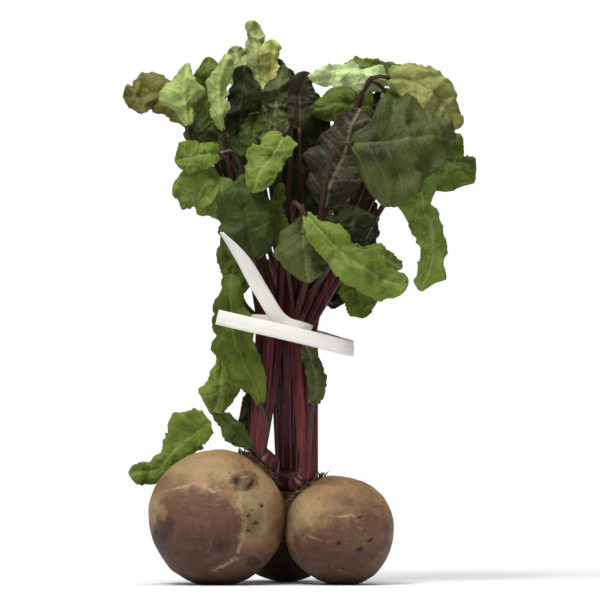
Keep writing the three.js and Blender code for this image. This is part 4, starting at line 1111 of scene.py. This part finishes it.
# One side of the strap's section, as shares of the half width and heights in mm: it rises over the wire.
STRAP_FACE = (
    (-1, -0.25), (-0.55, -0.28), (-0.22, -0.32), (0, -0.7), (0.22, -0.32), (0.55, -0.28), (1, -0.25)
)


def build_tie(settings, material):
    middle = Spline([at for at, _ in STRAP_ROUTE])
    widths = Spline([width for _, width in STRAP_ROUTE])
    half = settings.width / MM / 2
    section = [*STRAP_FACE, *((w, -t) for w, t in reversed(STRAP_FACE))]
    sides = len(section)
    bm = bmesh.new()
    lattice = grid(bm, STRAP_ROWS, sides)
    for r, line in enumerate(lattice):
        share = r / STRAP_ROWS
        tangent = middle.along(share)
        outward = widths.at(share).cross(tangent).normalized()
        across = tangent.cross(outward)
        crease = 0.12 * noise.noise(Vector((share * 60, 0, 3)))
        for c, vertex in enumerate(line):
            w, t = section[c % sides]
            vertex.co = placed(middle.at(share) + across * w * half + outward * (t + crease * abs(w)))
    for end in (lattice[0], lattice[-1]):
        bmesh.ops.contextual_create(bm, geom=end[:-1])
    piece = finish_mesh(bm, "tie_plain_strap", [material], 1e-7)
    hand_over(piece, "tie_strap")


class BEETROOT_OT_roots(bpy.types.Operator):
    """Build the three roots"""

    bl_idname = "beetroot.roots"
    bl_label = "Roots"

    def execute(self, context):
        settings = context.scene.beetroot_roots
        material = skin_material(settings)
        fibre = fibre_material()
        for name in ROOTS:
            build_root(name, settings.rows, material)
            build_crown_fibres(name, fibre)
        return {"FINISHED"}


class BEETROOT_OT_stalks(bpy.types.Operator):
    """Build the ribbed stalks"""

    bl_idname = "beetroot.stalks"
    bl_label = "Stalks"

    def execute(self, context):
        settings = context.scene.beetroot_stalks
        material = stalk_material(settings)
        for name in ROOTS:
            build_stalks(name, settings, material)
        return {"FINISHED"}


class BEETROOT_OT_leaves(bpy.types.Operator):
    """Build the blades"""

    bl_idname = "beetroot.leaves"
    bl_label = "Leaves"

    def execute(self, context):
        settings = context.scene.beetroot_leaves
        materials = {}
        for look, (face, patch_and_side_shading, under, veins, browned) in LOOKS.items():
            upper = leaf_material(f"leaf_{look}", face, patch_and_side_shading, veins, browned)
            paler = times(under, 1.2)
            lower = leaf_material(f"leaf_{look}_underside", under, times(under, 0.8), paler, browned)
            materials[look] = [upper, lower]
        for i, (name, leaf) in enumerate(LEAVES.items()):
            build_leaf(f"leaf_{name}", leaf, settings, materials, SEED_STEP * i)
        return {"FINISHED"}


class BEETROOT_OT_tie(bpy.types.Operator):
    """Build the flat tie"""

    bl_idname = "beetroot.tie"
    bl_label = "Tie"

    def execute(self, context):
        settings = context.scene.beetroot_tie
        build_tie(settings, strap_material(settings))
        return {"FINISHED"}


AIM = Vector((0.00005, -0.01746, 0.1704))
CAMERA_HEIGHT = 0.06
SENSOR = 36
FLOOR_REACH = 0.4
KEY_PLACE = (-0.55, -1.1, 1.6)
TOP_PLACE = (0.2, -0.1, 1.6)


def set_up(data, place, aim):
    """Puts a lamp or a camera at a place of the stage and points it at another."""
    thing = bpy.data.objects.new(data.name, data)
    thing.location = place
    thing.rotation_euler = (Vector(aim) - thing.location).to_track_quat("-Z", "Y").to_euler()
    bpy.context.scene.collection.objects.link(thing)
    return thing


def add_light(name, place, aim, size, power):
    light = bpy.data.lights.new(name, "AREA")
    light.size = size
    light.energy = power
    return set_up(light, place, aim)


def white_world(ambient):
    """A world that looks white and lights the bunch less than that."""
    world = bpy.data.worlds.new("stage_world")
    world.use_nodes = True
    tree = world.node_tree
    around = tree.nodes["Background"]
    around.inputs["Color"].default_value = (1, 1, 1, 1)
    around.inputs["Strength"].default_value = ambient
    seen = add_node(tree, "Background", {"Color": (1, 1, 1)})
    rays = add_node(tree, "LightPath", {})
    layers = (rays.outputs["Is Camera Ray"], around.outputs[0], seen.outputs[0])
    chosen = add_node(tree, "MixShader", {i: Wire(tree, layer) for i, layer in enumerate(layers)})
    tree.links.new(chosen.outputs[0], tree.nodes["World Output"].inputs["Surface"])
    return world


class BEETROOT_OT_stage(bpy.types.Operator):
    """Set up the floor, the lights and the camera"""

    bl_idname = "beetroot.stage"
    bl_label = "Stage"

    def execute(self, context):
        settings = context.scene.beetroot_stage
        scene = context.scene
        bm = bmesh.new()
        bmesh.ops.create_grid(bm, x_segments=1, y_segments=1, size=FLOOR_REACH)
        paint = Paint("stage_floor")
        paint.put(Base_Color=tuple(settings.floor), Roughness=0.9)
        finish_mesh(bm, "stage_floor", [paint.material])
        scene.world = white_world(settings.ambient)
        add_light("stage_key", KEY_PLACE, (0, 0, 0.15), 0.8, settings.key)
        add_light("stage_top", TOP_PLACE, (0, 0, 0.1), 1.2, settings.key * 0.5)
        camera = bpy.data.cameras.new("stage_camera")
        camera.sensor_width = SENSOR
        camera.lens = SENSOR * settings.distance / settings.view_width
        camera.clip_end = 100
        scene.camera = set_up(camera, (AIM.x, AIM.y - settings.distance, CAMERA_HEIGHT), AIM)
        scene.view_settings.view_transform = "Standard"
        return {"FINISHED"}


class BEETROOT_PT_panel(bpy.types.Panel):
    """Lists the pieces of the bunch"""

    bl_idname = "BEETROOT_PT_panel"
    bl_label = "Beetroot bunch"
    bl_space_type = "VIEW_3D"
    bl_region_type = "UI"
    bl_category = "Beetroot bunch"

    def draw(self, context):
        for name in GROUPS:
            box = self.layout.box()
            settings = getattr(context.scene, f"beetroot_{name}")
            for key in settings.__annotations__:
                box.prop(settings, key)
            box.operator(f"beetroot.{name}")


GROUPS = {
    "roots": RootSettings,
    "stalks": StalkSettings,
    "leaves": LeafSettings,
    "tie": TieSettings,
    "stage": StageSettings,
}
CLASSES = (
    *GROUPS.values(),
    BEETROOT_OT_roots,
    BEETROOT_OT_stalks,
    BEETROOT_OT_leaves,
    BEETROOT_OT_tie,
    BEETROOT_OT_stage,
    BEETROOT_PT_panel,
)


def register():
    for kind in CLASSES:
        bpy.utils.register_class(kind)
    for name, group in GROUPS.items():
        setattr(bpy.types.Scene, f"beetroot_{name}", bpy.props.PointerProperty(type=group))


def unregister():
    for name in GROUPS:
        delattr(bpy.types.Scene, f"beetroot_{name}")
    for kind in reversed(CLASSES):
        bpy.utils.unregister_class(kind)


def main():
    register()
    bpy.ops.beetroot.roots()
    bpy.ops.beetroot.stalks()
    bpy.ops.beetroot.leaves()
    bpy.ops.beetroot.tie()
    bpy.ops.beetroot.stage()


if __name__ == "__main__":
    main()
